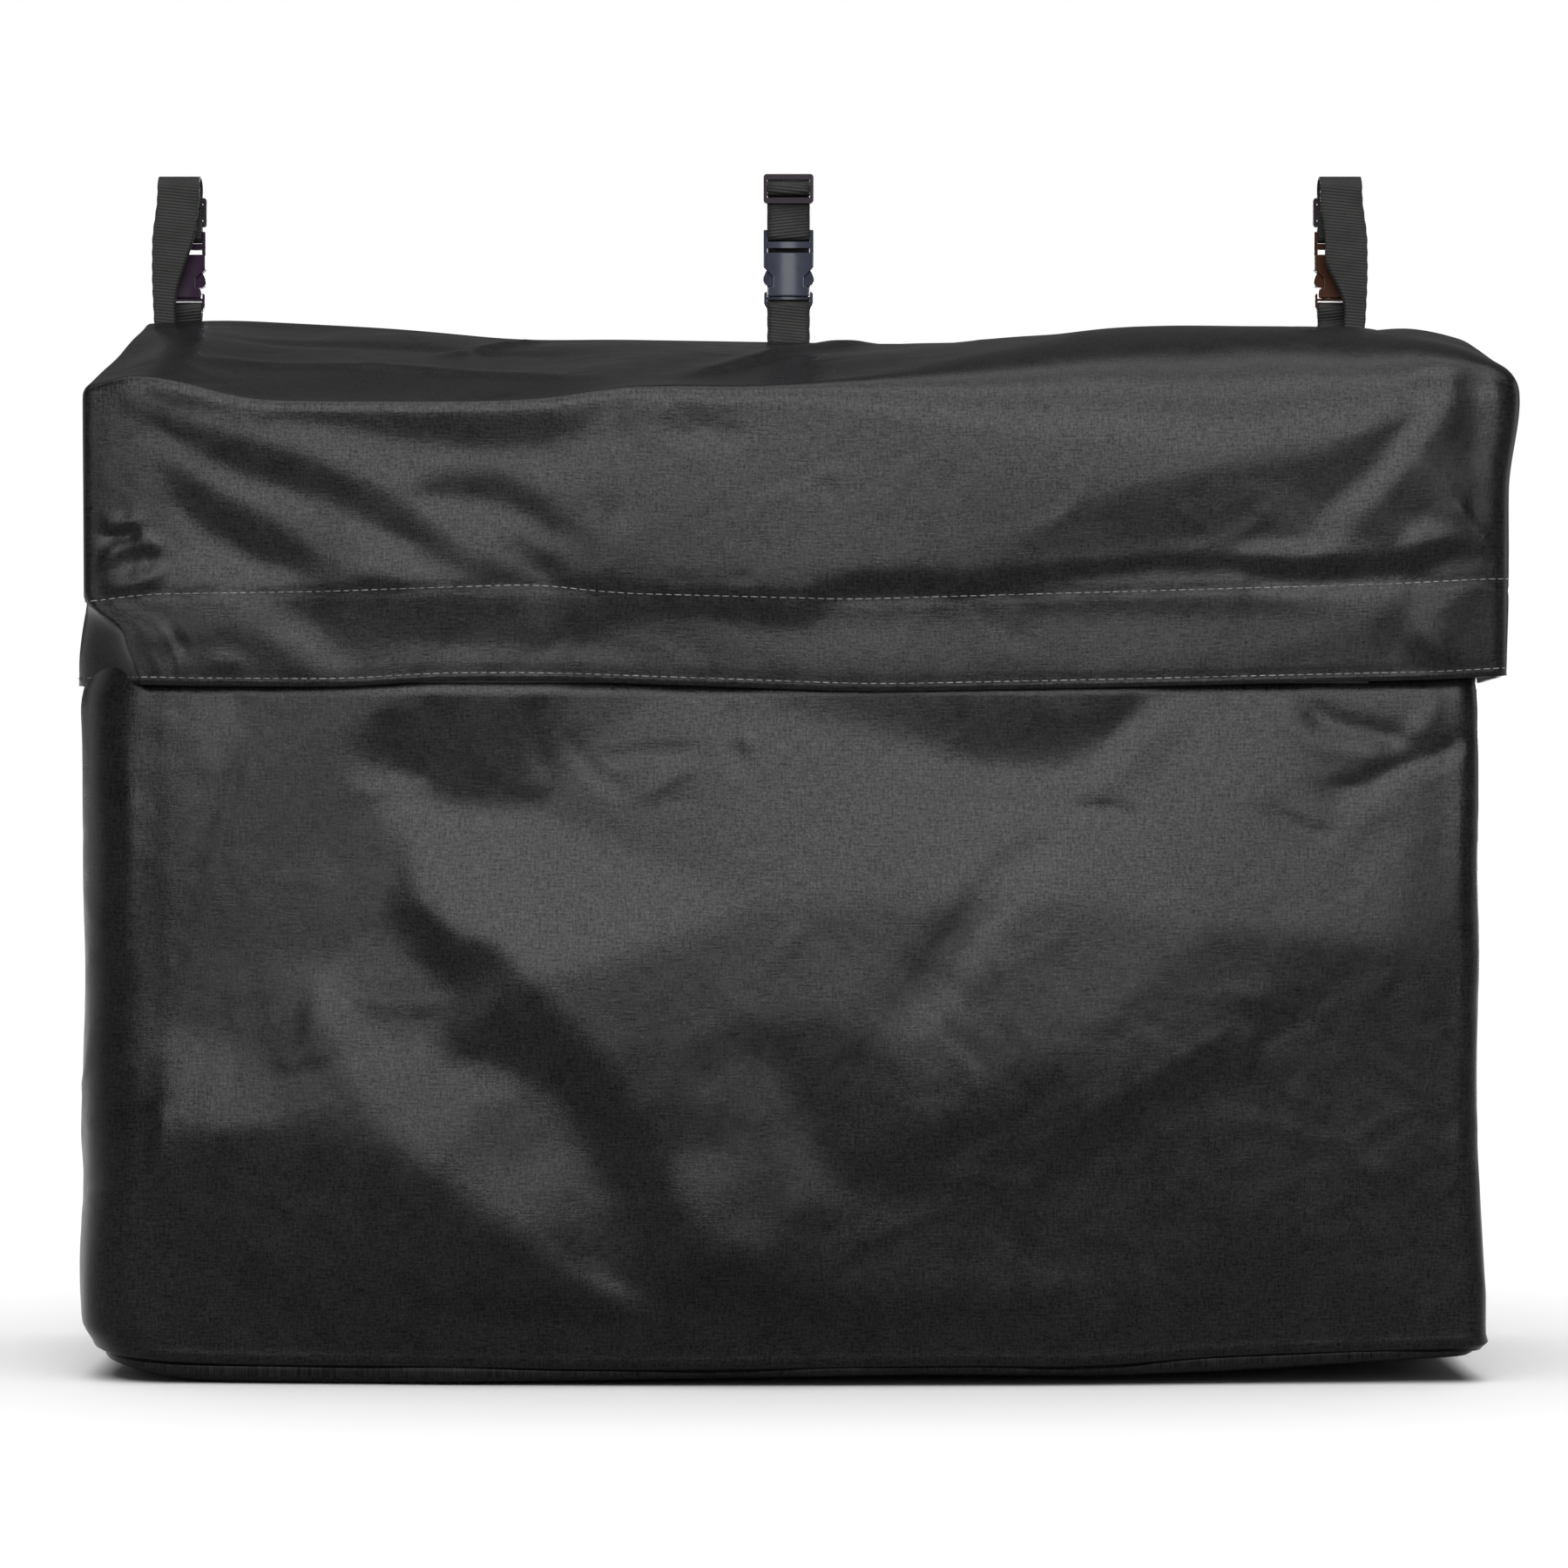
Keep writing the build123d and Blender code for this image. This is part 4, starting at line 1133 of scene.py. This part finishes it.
ROUND = 6  # points round a stitch
STITCH_RINGS = [(-0.5, 0.15), (-0.42, 0.8), (0.0, 1.0), (0.42, 0.8), (0.5, 0.15)]  # (place along, size)


def even_marks(run, pitch):
    """Distances along a run at an even pitch, clear of its ends."""
    return np.arange(pitch * 0.5, run[-1] - pitch * 0.4, pitch)


def thread_rings(centre, way, up, number, length, radius):
    """The points of one stitch, as rings across it. Each stitch differs a little from the next."""
    side = np.cross(way, up)
    points = []
    for place, size in STITCH_RINGS:
        dip = radius * (0.35 - 0.75 * abs(place) * 2 + 0.2 * math.sin(number * 2.4))
        middle = centre + way * place * (length + 0.35 * math.sin(number * 1.7)) + up * dip
        for angle in np.linspace(0, math.tau, ROUND, endpoint=False):
            turn = side * math.cos(angle) + up * 0.8 * math.sin(angle)
            points.append(middle + radius * size * turn)
    return points


def thread_faces(first):
    """The faces of one stitch whose points start at first."""
    faces = []
    for ring in range(len(STITCH_RINGS) - 1):
        for k in range(ROUND):
            a, b = first + ring * ROUND + k, first + ring * ROUND + (k + 1) % ROUND
            faces.append((a, b, b + ROUND, a + ROUND))
    last = first + (len(STITCH_RINGS) - 1) * ROUND
    faces.append(tuple(first + k for k in range(ROUND)))
    faces.append(tuple(last + k for k in reversed(range(ROUND))))
    return faces


def stitches(name, rows, body, pitch=4.2, length=3.3, radius=0.27):
    """Thread lying in short capsules along rows of (path, outward normals)."""
    verts, faces = [], []
    for path, outward in rows:
        run = run_along(path)
        at = even_marks(run, pitch)
        centres = read_at(at, run, path)
        along = read_at(at + 0.5, run, path) - centres
        ups = read_at(at, run, outward)
        for number, (centre, way, up) in enumerate(zip(centres, along, ups)):
            way = way / np.linalg.norm(way)
            up = up - way * (up @ way)
            up /= np.linalg.norm(up)
            faces += thread_faces(len(verts))
            verts += thread_rings(centre, way, up, number, length, radius)
    obj = mesh_object(name, verts, faces, None, [THREAD])
    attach(obj, body)


def level_row(grid, heights, outward):
    """Where a grid's columns cross given heights, and the normals there."""
    points, ups = [], []
    for column, normal, height in zip(grid, outward, heights):
        points.append(read_at(height, column[:, 2], column))
        ups.append(read_at(height, column[:, 2], normal))
    return np.array(points), np.array(ups)


def hem_stitching(sheet, wings):
    """The two rows of topstitching round the lid's hem."""
    front, out = sheet[:, :FRONT_ROWS], normals(sheet)[:, :FRONT_ROWS]
    xs, _ = lid_columns()
    band, hem = track(BAND_LINE, xs, 10), track(HEM_LINE, xs, 14) + STITCH_IN
    rows = [level_row(front, band, out), level_row(front, hem, out)]
    for (grid, _), side in zip(wings, (-1, 1)):
        out = normals(grid)
        if (out[len(grid) // 2, 10, 0] > 0) != (side > 0):
            out = -out
        start = band[0 if side < 0 else -1]
        upper = start + (WING_BAND - start) * np.linspace(0, 1, len(grid))
        lower = grid[:, 0, 2] + STITCH_IN
        rows += [level_row(grid, upper, out), level_row(grid, lower, out)]
    stitches("hem_stitching", rows, "lid")


# --- straps -------------------------------------------------------------------------------------------------

WEB_WIDTH, WEB = 20.6, 1.3  # the web's width and thickness
RAIL_RADIUS = 5.0
LEG = RAIL_RADIUS + WEB / 2  # each leg of a loop, either side of the rail's middle
RAIL_Z = 557.7
PIVOT_Z = high("strap_base_centre")[2] + 1.8
BUCKLE_Z = low("buckle_male_centre")[2]
HAIRPIN = 1.75  # the radius of a web's turn round a buckle's bar
LAYER_GAP = 0.15
FOLD_RADIUS = 0.8  # the roundness of a lengthwise fold
FOLD_WIDTH = 11.5  # how much of a side strap's plain leg is folded under
FOLD_STARTS = {"left": 545, "centre": None, "right": 528}
SLACK_LEAN = 2.4  # how far a side strap's plain leg leans outwards
LOOP_RISE = {  # the plain leg of the web on its way up, as (behind the back, height)
    True: [(WEB / 2, PIVOT_Z + 0.3), (3.9, 520)],
    False: [(WEB * 1.5, PIVOT_Z + 0.3), (10.6, 481), (14.2, 507)],
}


def rounded(points, radius, gap=1.2):
    """A 2-D path with its corners rounded."""
    p = [np.array(q, float) for q in points]
    out = [p[0]]
    for before, corner, after in zip(p, p[1:], p[2:]):
        reach = min(radius, np.linalg.norm(corner - before) * 0.48, np.linalg.norm(after - corner) * 0.48)
        a = corner + (before - corner) / np.linalg.norm(before - corner) * reach
        b = corner + (after - corner) / np.linalg.norm(after - corner) * reach
        for t in np.linspace(0, 1, 6):
            out.append(arc_between(a, corner, b, t))
    out.append(p[-1])
    return even(np.array(out), gap)


def even(path, gap):
    """A 2-D path cut into even steps."""
    run = run_along(path)
    return read_at(np.linspace(0, run[-1], max(3, int(run[-1] / gap))), run, path)


def half_turn(start, end, way):
    """A half circle from one 2-D point to another, bulging the way given along its second axis."""
    a, b = np.array(start), np.array(end)
    middle, radius = (a + b) / 2, np.linalg.norm(b - a) / 2
    angles = np.linspace(0, math.pi, 12)[1:-1]
    return [middle + (a - middle) * math.cos(t) + np.array([0, way * radius * math.sin(t)]) for t in angles]


def web_outline(count):
    """Round the web's cross-section: (place across, which face) for each point."""
    across = np.linspace(-10.0, 10.0, count)
    outside = [(a, 0.65 + 0.02 * (1 - abs(a) / 10)) for a in across]
    inside = [(a, -b) for a, b in reversed(outside)]
    edge = WEB_WIDTH / 2
    return outside + [(edge, 0.3), (edge, -0.3)] + inside + [(-edge, -0.3), (-edge, 0.3)]


def folded(across, tucked, keep):
    """Where a point across a web lies once an edge is folded behind: (sideways, back, turn).

    tucked is the width folded under, and keep is the side whose edge stays where it is."""
    reach = WEB_WIDTH / 2 - across * keep
    past = np.maximum(reach - (WEB_WIDTH - tucked), 0)
    turn = np.clip(past / FOLD_RADIUS, 0, math.pi)
    flat = np.maximum(past - math.pi * FOLD_RADIUS, 0)
    outward = np.minimum(reach, WEB_WIDTH - tucked) + FOLD_RADIUS * np.sin(turn) - flat
    return keep * (WEB_WIDTH / 2 - outward), FOLD_RADIUS * (1 - np.cos(turn)), turn


def ribbon(name, x, path, body, fold=None, keep=1):
    """Webbing along a path of (behind the back, height). fold is where it starts to fold under."""
    lean = side_lean(path, keep) if fold else np.zeros(len(path))
    tucked = side_fold(path, fold) if fold else np.zeros(len(path))
    p = np.column_stack([x + lean, BACK + path[:, 0], path[:, 1]])
    tangent = np.gradient(p, axis=0)
    tangent /= np.linalg.norm(tangent, axis=1, keepdims=True)
    side = np.array([1.0, 0, 0])
    behind = np.cross(tangent, side)
    run = run_along(p)
    ripple = 0.12 * np.sin(run * math.tau / 1.5)
    outline = web_outline(41 if fold else 7)
    rings = []
    for a, b in outline:
        across, back, turn = folded(a, tucked, keep)
        across = across + np.sign(a) * (abs(a) > 10.1) * ripple * np.cos(turn) - keep * b * np.sin(turn)
        rings.append(p + side * across[:, None] + behind * (back - b * np.cos(turn))[:, None])
    grid = np.stack(rings, 1)
    uv = np.stack([np.column_stack([np.full(len(run), a), run]) for a, _ in outline], 1)
    faces = tube_faces(len(p), len(outline))
    obj = mesh_object(name, grid.reshape(-1, 3), faces, uv.reshape(-1, 2), [WEBBING])
    face_outwards(obj)
    if body:
        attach(obj, body)
    return obj


def tube_faces(length, count):
    """The faces of a closed tube of rings, with a cap at each end."""
    faces = patch_faces((length, count)).tolist()
    for i in range(length - 1):
        faces.append((i * count + count - 1, i * count, (i + 1) * count, (i + 1) * count + count - 1))
    last = (length - 1) * count
    return faces + [tuple(range(count)), tuple(last + k for k in reversed(range(count)))]


def buckle_axis(name):
    """(distance of the buckle's middle behind the back face, the way it faces)."""
    way = 1 if FACES_BACK[name] else -1
    return RAIL_BACK + way * (LEG - HAIRPIN), way


def loop_path(name):
    """The long web: up its plain leg, over the rail, down to the buckle's bar and back up as a tail."""
    axis, way = buckle_axis(name)
    main, plain = RAIL_BACK + way * LEG, RAIL_BACK - way * LEG
    bend = 546 if FACES_BACK[name] else 534
    rise = rounded([*LOOP_RISE[FACES_BACK[name]], (plain, bend), (plain, RAIL_Z)], 12)
    over = half_turn((plain, RAIL_Z), (main, RAIL_Z), 1)
    turn = BUCKLE_Z + 35.5
    far = axis - way * HAIRPIN
    beside = main - way * (WEB + LAYER_GAP)
    under = half_turn((main, turn), (far, turn), -1)
    tail = rounded([(far, turn), (far, turn + 3.6), (beside, turn + 9), (beside, turn + 14)], 2.5)
    drop = even(np.array([(main, RAIL_Z), (main, turn)]), 1.2)
    return np.vstack([rise, over, drop, under, tail])


def anchor_path(name):
    """The short web from the bag to the plug's bar, with its end folded back."""
    axis, way = buckle_axis(name)
    main, far = axis + way * HAIRPIN, axis - way * HAIRPIN
    turn = BUCKLE_Z + 1.8
    if FACES_BACK[name]:
        rise = rounded([(WEB * 1.5, PIVOT_Z + 0.3), (main, 494), (main, turn)], 6)
        end = (main - 5.6, 484)
    else:
        rise = rounded([(WEB / 2, PIVOT_Z + 0.3), (main, 492), (main, turn)], 6)
        end = (main + 0.45, 484)
    over = half_turn((main, turn), (far, turn), 1)
    beside = main - way * (WEB + LAYER_GAP * 3)
    tail = rounded([(far, turn), (far, turn - 2.6), (beside, turn - 7.4), end], 2.0)
    return np.vstack([rise, over, tail])


def side_fold(path, start):
    """The width of a side strap's plain leg that is folded under below the height start."""
    rising = np.arange(len(path)) < np.argmax(path[:, 1])
    return np.where(rising, FOLD_WIDTH * ease(start, 496, path[:, 1]) * ease(464, 484, path[:, 1]), 0.0)


def side_lean(path, way):
    """How far a side strap's slack plain leg leans outwards between the rail and the bag."""
    rising = np.arange(len(path)) < np.argmax(path[:, 1])
    return np.where(rising, way * SLACK_LEAN * ease(556, 530, path[:, 1]) * ease(466, 520, path[:, 1]), 0.0)


def build_strap(name):
    """One hanging strap: its webs, the web's fold over the slider, and its box stitching."""
    x = STRAPS[name]
    keep = -1 if name == "left" else 1
    loop = ribbon(f"loop_ribbon_{name}", x, loop_path(name), f"strap_{name}", FOLD_STARTS[name], keep)
    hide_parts(f"loop_web_{name}")
    anchor = ribbon(f"anchor_ribbon_{name}", x, anchor_path(name), None)
    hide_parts(f"anchor_web_{name}")
    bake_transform(anchor)
    top, bottom = high(f"strap_base_{name}")[2], low(f"strap_base_{name}")[2]
    for layer in (0, 1):
        b = WEB / 2 + layer * WEB
        path = even(np.array([(b, bottom + 1.5 * layer), (b, top)]), 1.3)
        ribbon(f"sewn_web_{name}_{layer}", x, path, "bag")
    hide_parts(f"strap_base_{name}")
    piece = ribbon(f"slider_ribbon_{name}", x, fold_path(name), f"glide_{name}")
    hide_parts(f"slider_fold_{name}")
    box_stitching(name, x, bottom, top)


def fold_path(name):
    """The web's fold over the slider's middle bar."""
    _, way = buckle_axis(name)
    main = RAIL_BACK + way * LEG
    middle = (low(f"slider_{name}")[2] + high(f"slider_{name}")[2]) / 2
    out = 3.9  # how far the fold stands off the web
    arch = [(0.8, middle - 3.1), (out, middle - 2.7), (out, middle + 2.7), (0.8, middle + 3.1)]
    return rounded([(main + way * b, z) for b, z in arch], 1.0, 0.8)


def box_stitching(name, x, bottom, top):
    """The crossed box that holds the web ends to the back panel."""
    y = BACK + 2 * WEB + 0.15
    half, low_z, high_z = 7.5, bottom + 5, top - 4
    corners = [(-half, low_z), (half, low_z), (half, high_z), (-half, high_z)]
    lines = [(corners[i], corners[(i + 1) % 4]) for i in range(4)]
    lines += [(corners[0], corners[2]), (corners[1], corners[3])]
    rows = []
    for (x0, z0), (x1, z1) in lines:
        path = np.linspace((x + x0, y, z0), (x + x1, y, z1), 12)
        rows.append((path, np.tile([0.0, 1.0, 0.0], (12, 1))))
    stitches(f"box_stitching_{name}", rows, "bag", 2.9, 2.1, 0.28)


def finish_moulded(node, material):
    """Softens a moulded CAD piece's edges and gives it its material."""
    set_material(node, material)
    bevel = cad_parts[node].modifiers.new("soft_edges", "BEVEL")
    bevel.width = 0.22 * MM
    bevel.segments = 2
    bevel.limit_method = "ANGLE"
    bevel.angle_limit = math.radians(40)
    bevel.harden_normals = True


def set_material(node, material):
    """Gives a CAD piece one material."""
    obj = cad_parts[node]
    obj.data.materials.clear()
    obj.data.materials.append(material)


# --- hinge, tapes and pocket --------------------------------------------------------------------------------


# (behind the back, above its top edge), from the back panel on to the lid
HINGE_PATH = [(0.9, -26), (1.0, -18), (1.0, -10), (1.0, -4), (0.7, -2.6), (-0.8, -1.6), (-3, -1.5),
              (-8, -2.8), (-14, -4.5)]


def hinge_cloth():
    """The cloth that runs from the back panel over the hinge line on to the lid."""
    xs = np.linspace(-LID_HALF + 4, LID_HALF - 4, 210)
    crests = track(BACK_LINE, xs, 20)
    grid = np.array([[(x, BACK + out, crest + up) for out, up in HINGE_PATH] for x, crest in zip(xs, crests)])
    run = run_along(grid)
    uv = np.stack([np.broadcast_to(xs[:, None], run.shape), run], -1)
    strip = join_patches("hinge_cloth", [(grid, uv)], [CLOTH])
    thicken(strip, 0.8)
    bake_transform(strip)


def strip_over(node, columns, out, material):
    """A strip of tape over a CAD piece's place, following columns of cloth points."""
    (first, _, bottom), (last, _, top) = low(node), high(node)
    chosen = [c for c in columns if first <= c[:, 0].mean() <= last]
    rows = np.linspace(bottom, top, 16)
    grid = np.stack([np.column_stack([read_at(rows, c[:, 2], c[:, :2]), rows]) for c in chosen])
    grid = grid + out * np.array([0, 1.0, 0])
    run = run_along(grid[:, 0])
    uv = np.stack([np.broadcast_to(run[:, None], grid.shape[:2]), grid[..., 2]], -1)
    strip = join_patches(f"{node}_pile", [(grid, uv)], [material])
    thicken(strip, 0.9)
    return strip


def tapes(body, sheet):
    """The hook and loop tapes, which follow the cloth that they are sewn to."""
    front = body[: int(np.argmax(body[:, 0, 0]))]
    loop = strip_over("loop_tape", front, -1.1, LOOP_PILE)
    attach(loop, "bag")
    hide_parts("loop_tape")
    hook = strip_over("hook_tape", sheet[:, : FRONT_ROWS + 1], 2.1, HOOK_PILE)
    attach(hook, "lid")
    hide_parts("hook_tape")


def board_pocket():
    """The lining pocket that holds the back board: a slack sheet, sewn down at its edges."""
    (x0, y0, z0), (x1, _, z1) = (low("back_board_sleeve"), high("back_board_sleeve"))
    x, z = np.meshgrid(np.linspace(x0 + 1, x1 - 1, 120), np.linspace(z0 + 1, z1 - 1, 90), indexing="ij")
    sewn = ease(0, 25, x - x0) * ease(0, 25, x1 - x) * ease(0, 25, z - z0)
    slack = swell(x, z, 81, height=0.9) + crumple(x, z, 83, 40, (x0, z0, x1, z1))
    slack += 1.2 * np.sin(x / 37) * ease(z1 - 120, z1, z)
    y = y0 + 0.9 - np.clip(slack, -0.4, 2.5) * sewn
    sheet = join_patches("board_pocket", [(np.stack([x, y, z], -1), np.stack([x, z], -1))], [LINING])
    thicken(sheet, 0.8)
    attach(sheet, "bag")
    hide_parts("back_board_sleeve")


# --- the room -----------------------------------------------------------------------------------------------


def area_light(name, place, aim, size, power):
    """A soft rectangular light that the camera does not see."""
    data = bpy.data.lights.new(name, "AREA")
    data.shape = "RECTANGLE"
    data.size, data.size_y = size
    data.energy = power
    lamp = bpy.data.objects.new(name, data)
    lamp.location = place
    lamp.rotation_euler = (Vector(aim) - Vector(place)).to_track_quat("-Z", "Y").to_euler()
    lamp.visible_camera = False
    bpy.context.scene.collection.objects.link(lamp)
    return lamp


def pale_floor():
    """A wide matt floor."""
    mesh = bpy.data.meshes.new("floor")
    mesh.from_pydata([(-30, -30, 0), (30, -30, 0), (30, 30, 0), (-30, 30, 0)], [], [(0, 1, 2, 3)])
    floor = bpy.data.objects.new("floor", mesh)
    m = Nodes("floor")
    m.surface("Base Color", (0.9, 0.9, 0.9, 1))
    m.surface("Roughness", 0.9)
    m.surface("Specular IOR Level", 0.1)
    mesh.materials.append(m.material)
    bpy.context.scene.collection.objects.link(floor)
    return floor


def main_lights(floor):
    """A large soft front light, one above it, and an even light from overhead."""
    key = area_light("key", (0.05, -3.3, 1.9), (0.05, 0, 1.9), (3.9, 3.2), 470)
    top = area_light("overhead_front", (0.15, -1.7, 3.6), (0, -0.1, 0.45), (2.7, 2.2), 120)
    flag_off((key, top), "flagged_off_the_floor", floor)
    sun = bpy.data.lights.new("overhead", "SUN")
    sun.energy = 3.5
    sun.angle = math.radians(70)
    lamp = bpy.data.objects.new("overhead", sun)
    lamp.rotation_euler = (math.radians(8), 0, 0)
    bpy.context.scene.collection.objects.link(lamp)


def pale_room():
    """A room that is white to the camera and dim to everything else."""
    world = bpy.data.worlds.new("room")
    bpy.context.scene.world = world
    world.use_nodes = True
    tree = world.node_tree
    tree.nodes.clear()
    path, mix = tree.nodes.new("ShaderNodeLightPath"), tree.nodes.new("ShaderNodeMixShader")
    tree.links.new(path.outputs["Is Camera Ray"], mix.inputs[0])
    for socket, strength in ((1, 0.15), (2, 1.0)):
        room = tree.nodes.new("ShaderNodeBackground")
        room.inputs[0].default_value = (1, 1, 1, 1)
        room.inputs[1].default_value = strength
        tree.links.new(room.outputs[0], mix.inputs[socket])
    out = tree.nodes.new("ShaderNodeOutputWorld")
    tree.links.new(mix.outputs[0], out.inputs[0])
    bpy.context.scene.view_settings.view_transform = "Standard"
    bpy.context.scene.view_settings.look = "None"


def flag_off(lamps, name, *shaded):
    """Keeps lamps from lighting some objects, as a black flag does in a studio."""
    flagged = bpy.data.collections.new(name)
    for obj in shaded:
        flagged.objects.link(obj)
    for entry in flagged.collection_objects:
        entry.light_linking.link_state = "EXCLUDE"
    for lamp in lamps:
        lamp.light_linking.receiver_collection = flagged


def fill_lights(floor, lid):
    """Soft lights for the back and the sides. The back one would glare in the lid's sloping top."""
    back = area_light("back", (0.5, 3.1, 1.0), (0, 0, 0.3), (2.8, 1.7), 260)
    flag_off([back], "flagged_off_floor_and_lid", floor, lid)
    left = area_light("left", (-3.0, 0.9, 1.1), (0, 0.05, 0.3), (1.8, 1.8), 11)
    right = area_light("right", (3.0, 0.9, 1.1), (0, 0.05, 0.3), (1.8, 1.8), 16)
    flag_off([left, right], "flagged_off_the_floor_at_the_sides", floor)


def camera():
    """Level with the middle of the bag, about two metres in front of it."""
    data = bpy.data.cameras.new("camera")
    data.sensor_width = 36
    data.lens = 100.8
    middle, distance, height = -7.7, 1956, 267
    obj = bpy.data.objects.new("camera", data)
    obj.location = (middle * MM, (BODY_FRONT - distance) * MM, height * MM)
    obj.rotation_euler = (math.radians(90), 0, 0)
    bpy.context.scene.collection.objects.link(obj)
    bpy.context.scene.camera = obj


# --- putting it together ------------------------------------------------------------------------------------

camera()
floor = pale_floor()
main_lights(floor)
pale_room()
lid_skin, lid_points, wing_points = build_lid()
fill_lights(floor, lid_skin)
body_points = build_body()
build_base()
hem_stitching(lid_points, wing_points)
hinge_cloth()
tapes(body_points, lid_points)
board_pocket()
for strap in STRAPS:
    build_strap(strap)
    for piece in (f"buckle_female_{strap}", f"buckle_male_{strap}"):
        finish_moulded(piece, BUCKLES[strap])
    for side in ("west", "east"):
        finish_moulded(f"latch_arm_{strap}_{side}", BUCKLES[strap])
    finish_moulded(f"slider_{strap}", SLIDER)
set_material("back_board", BOARD)
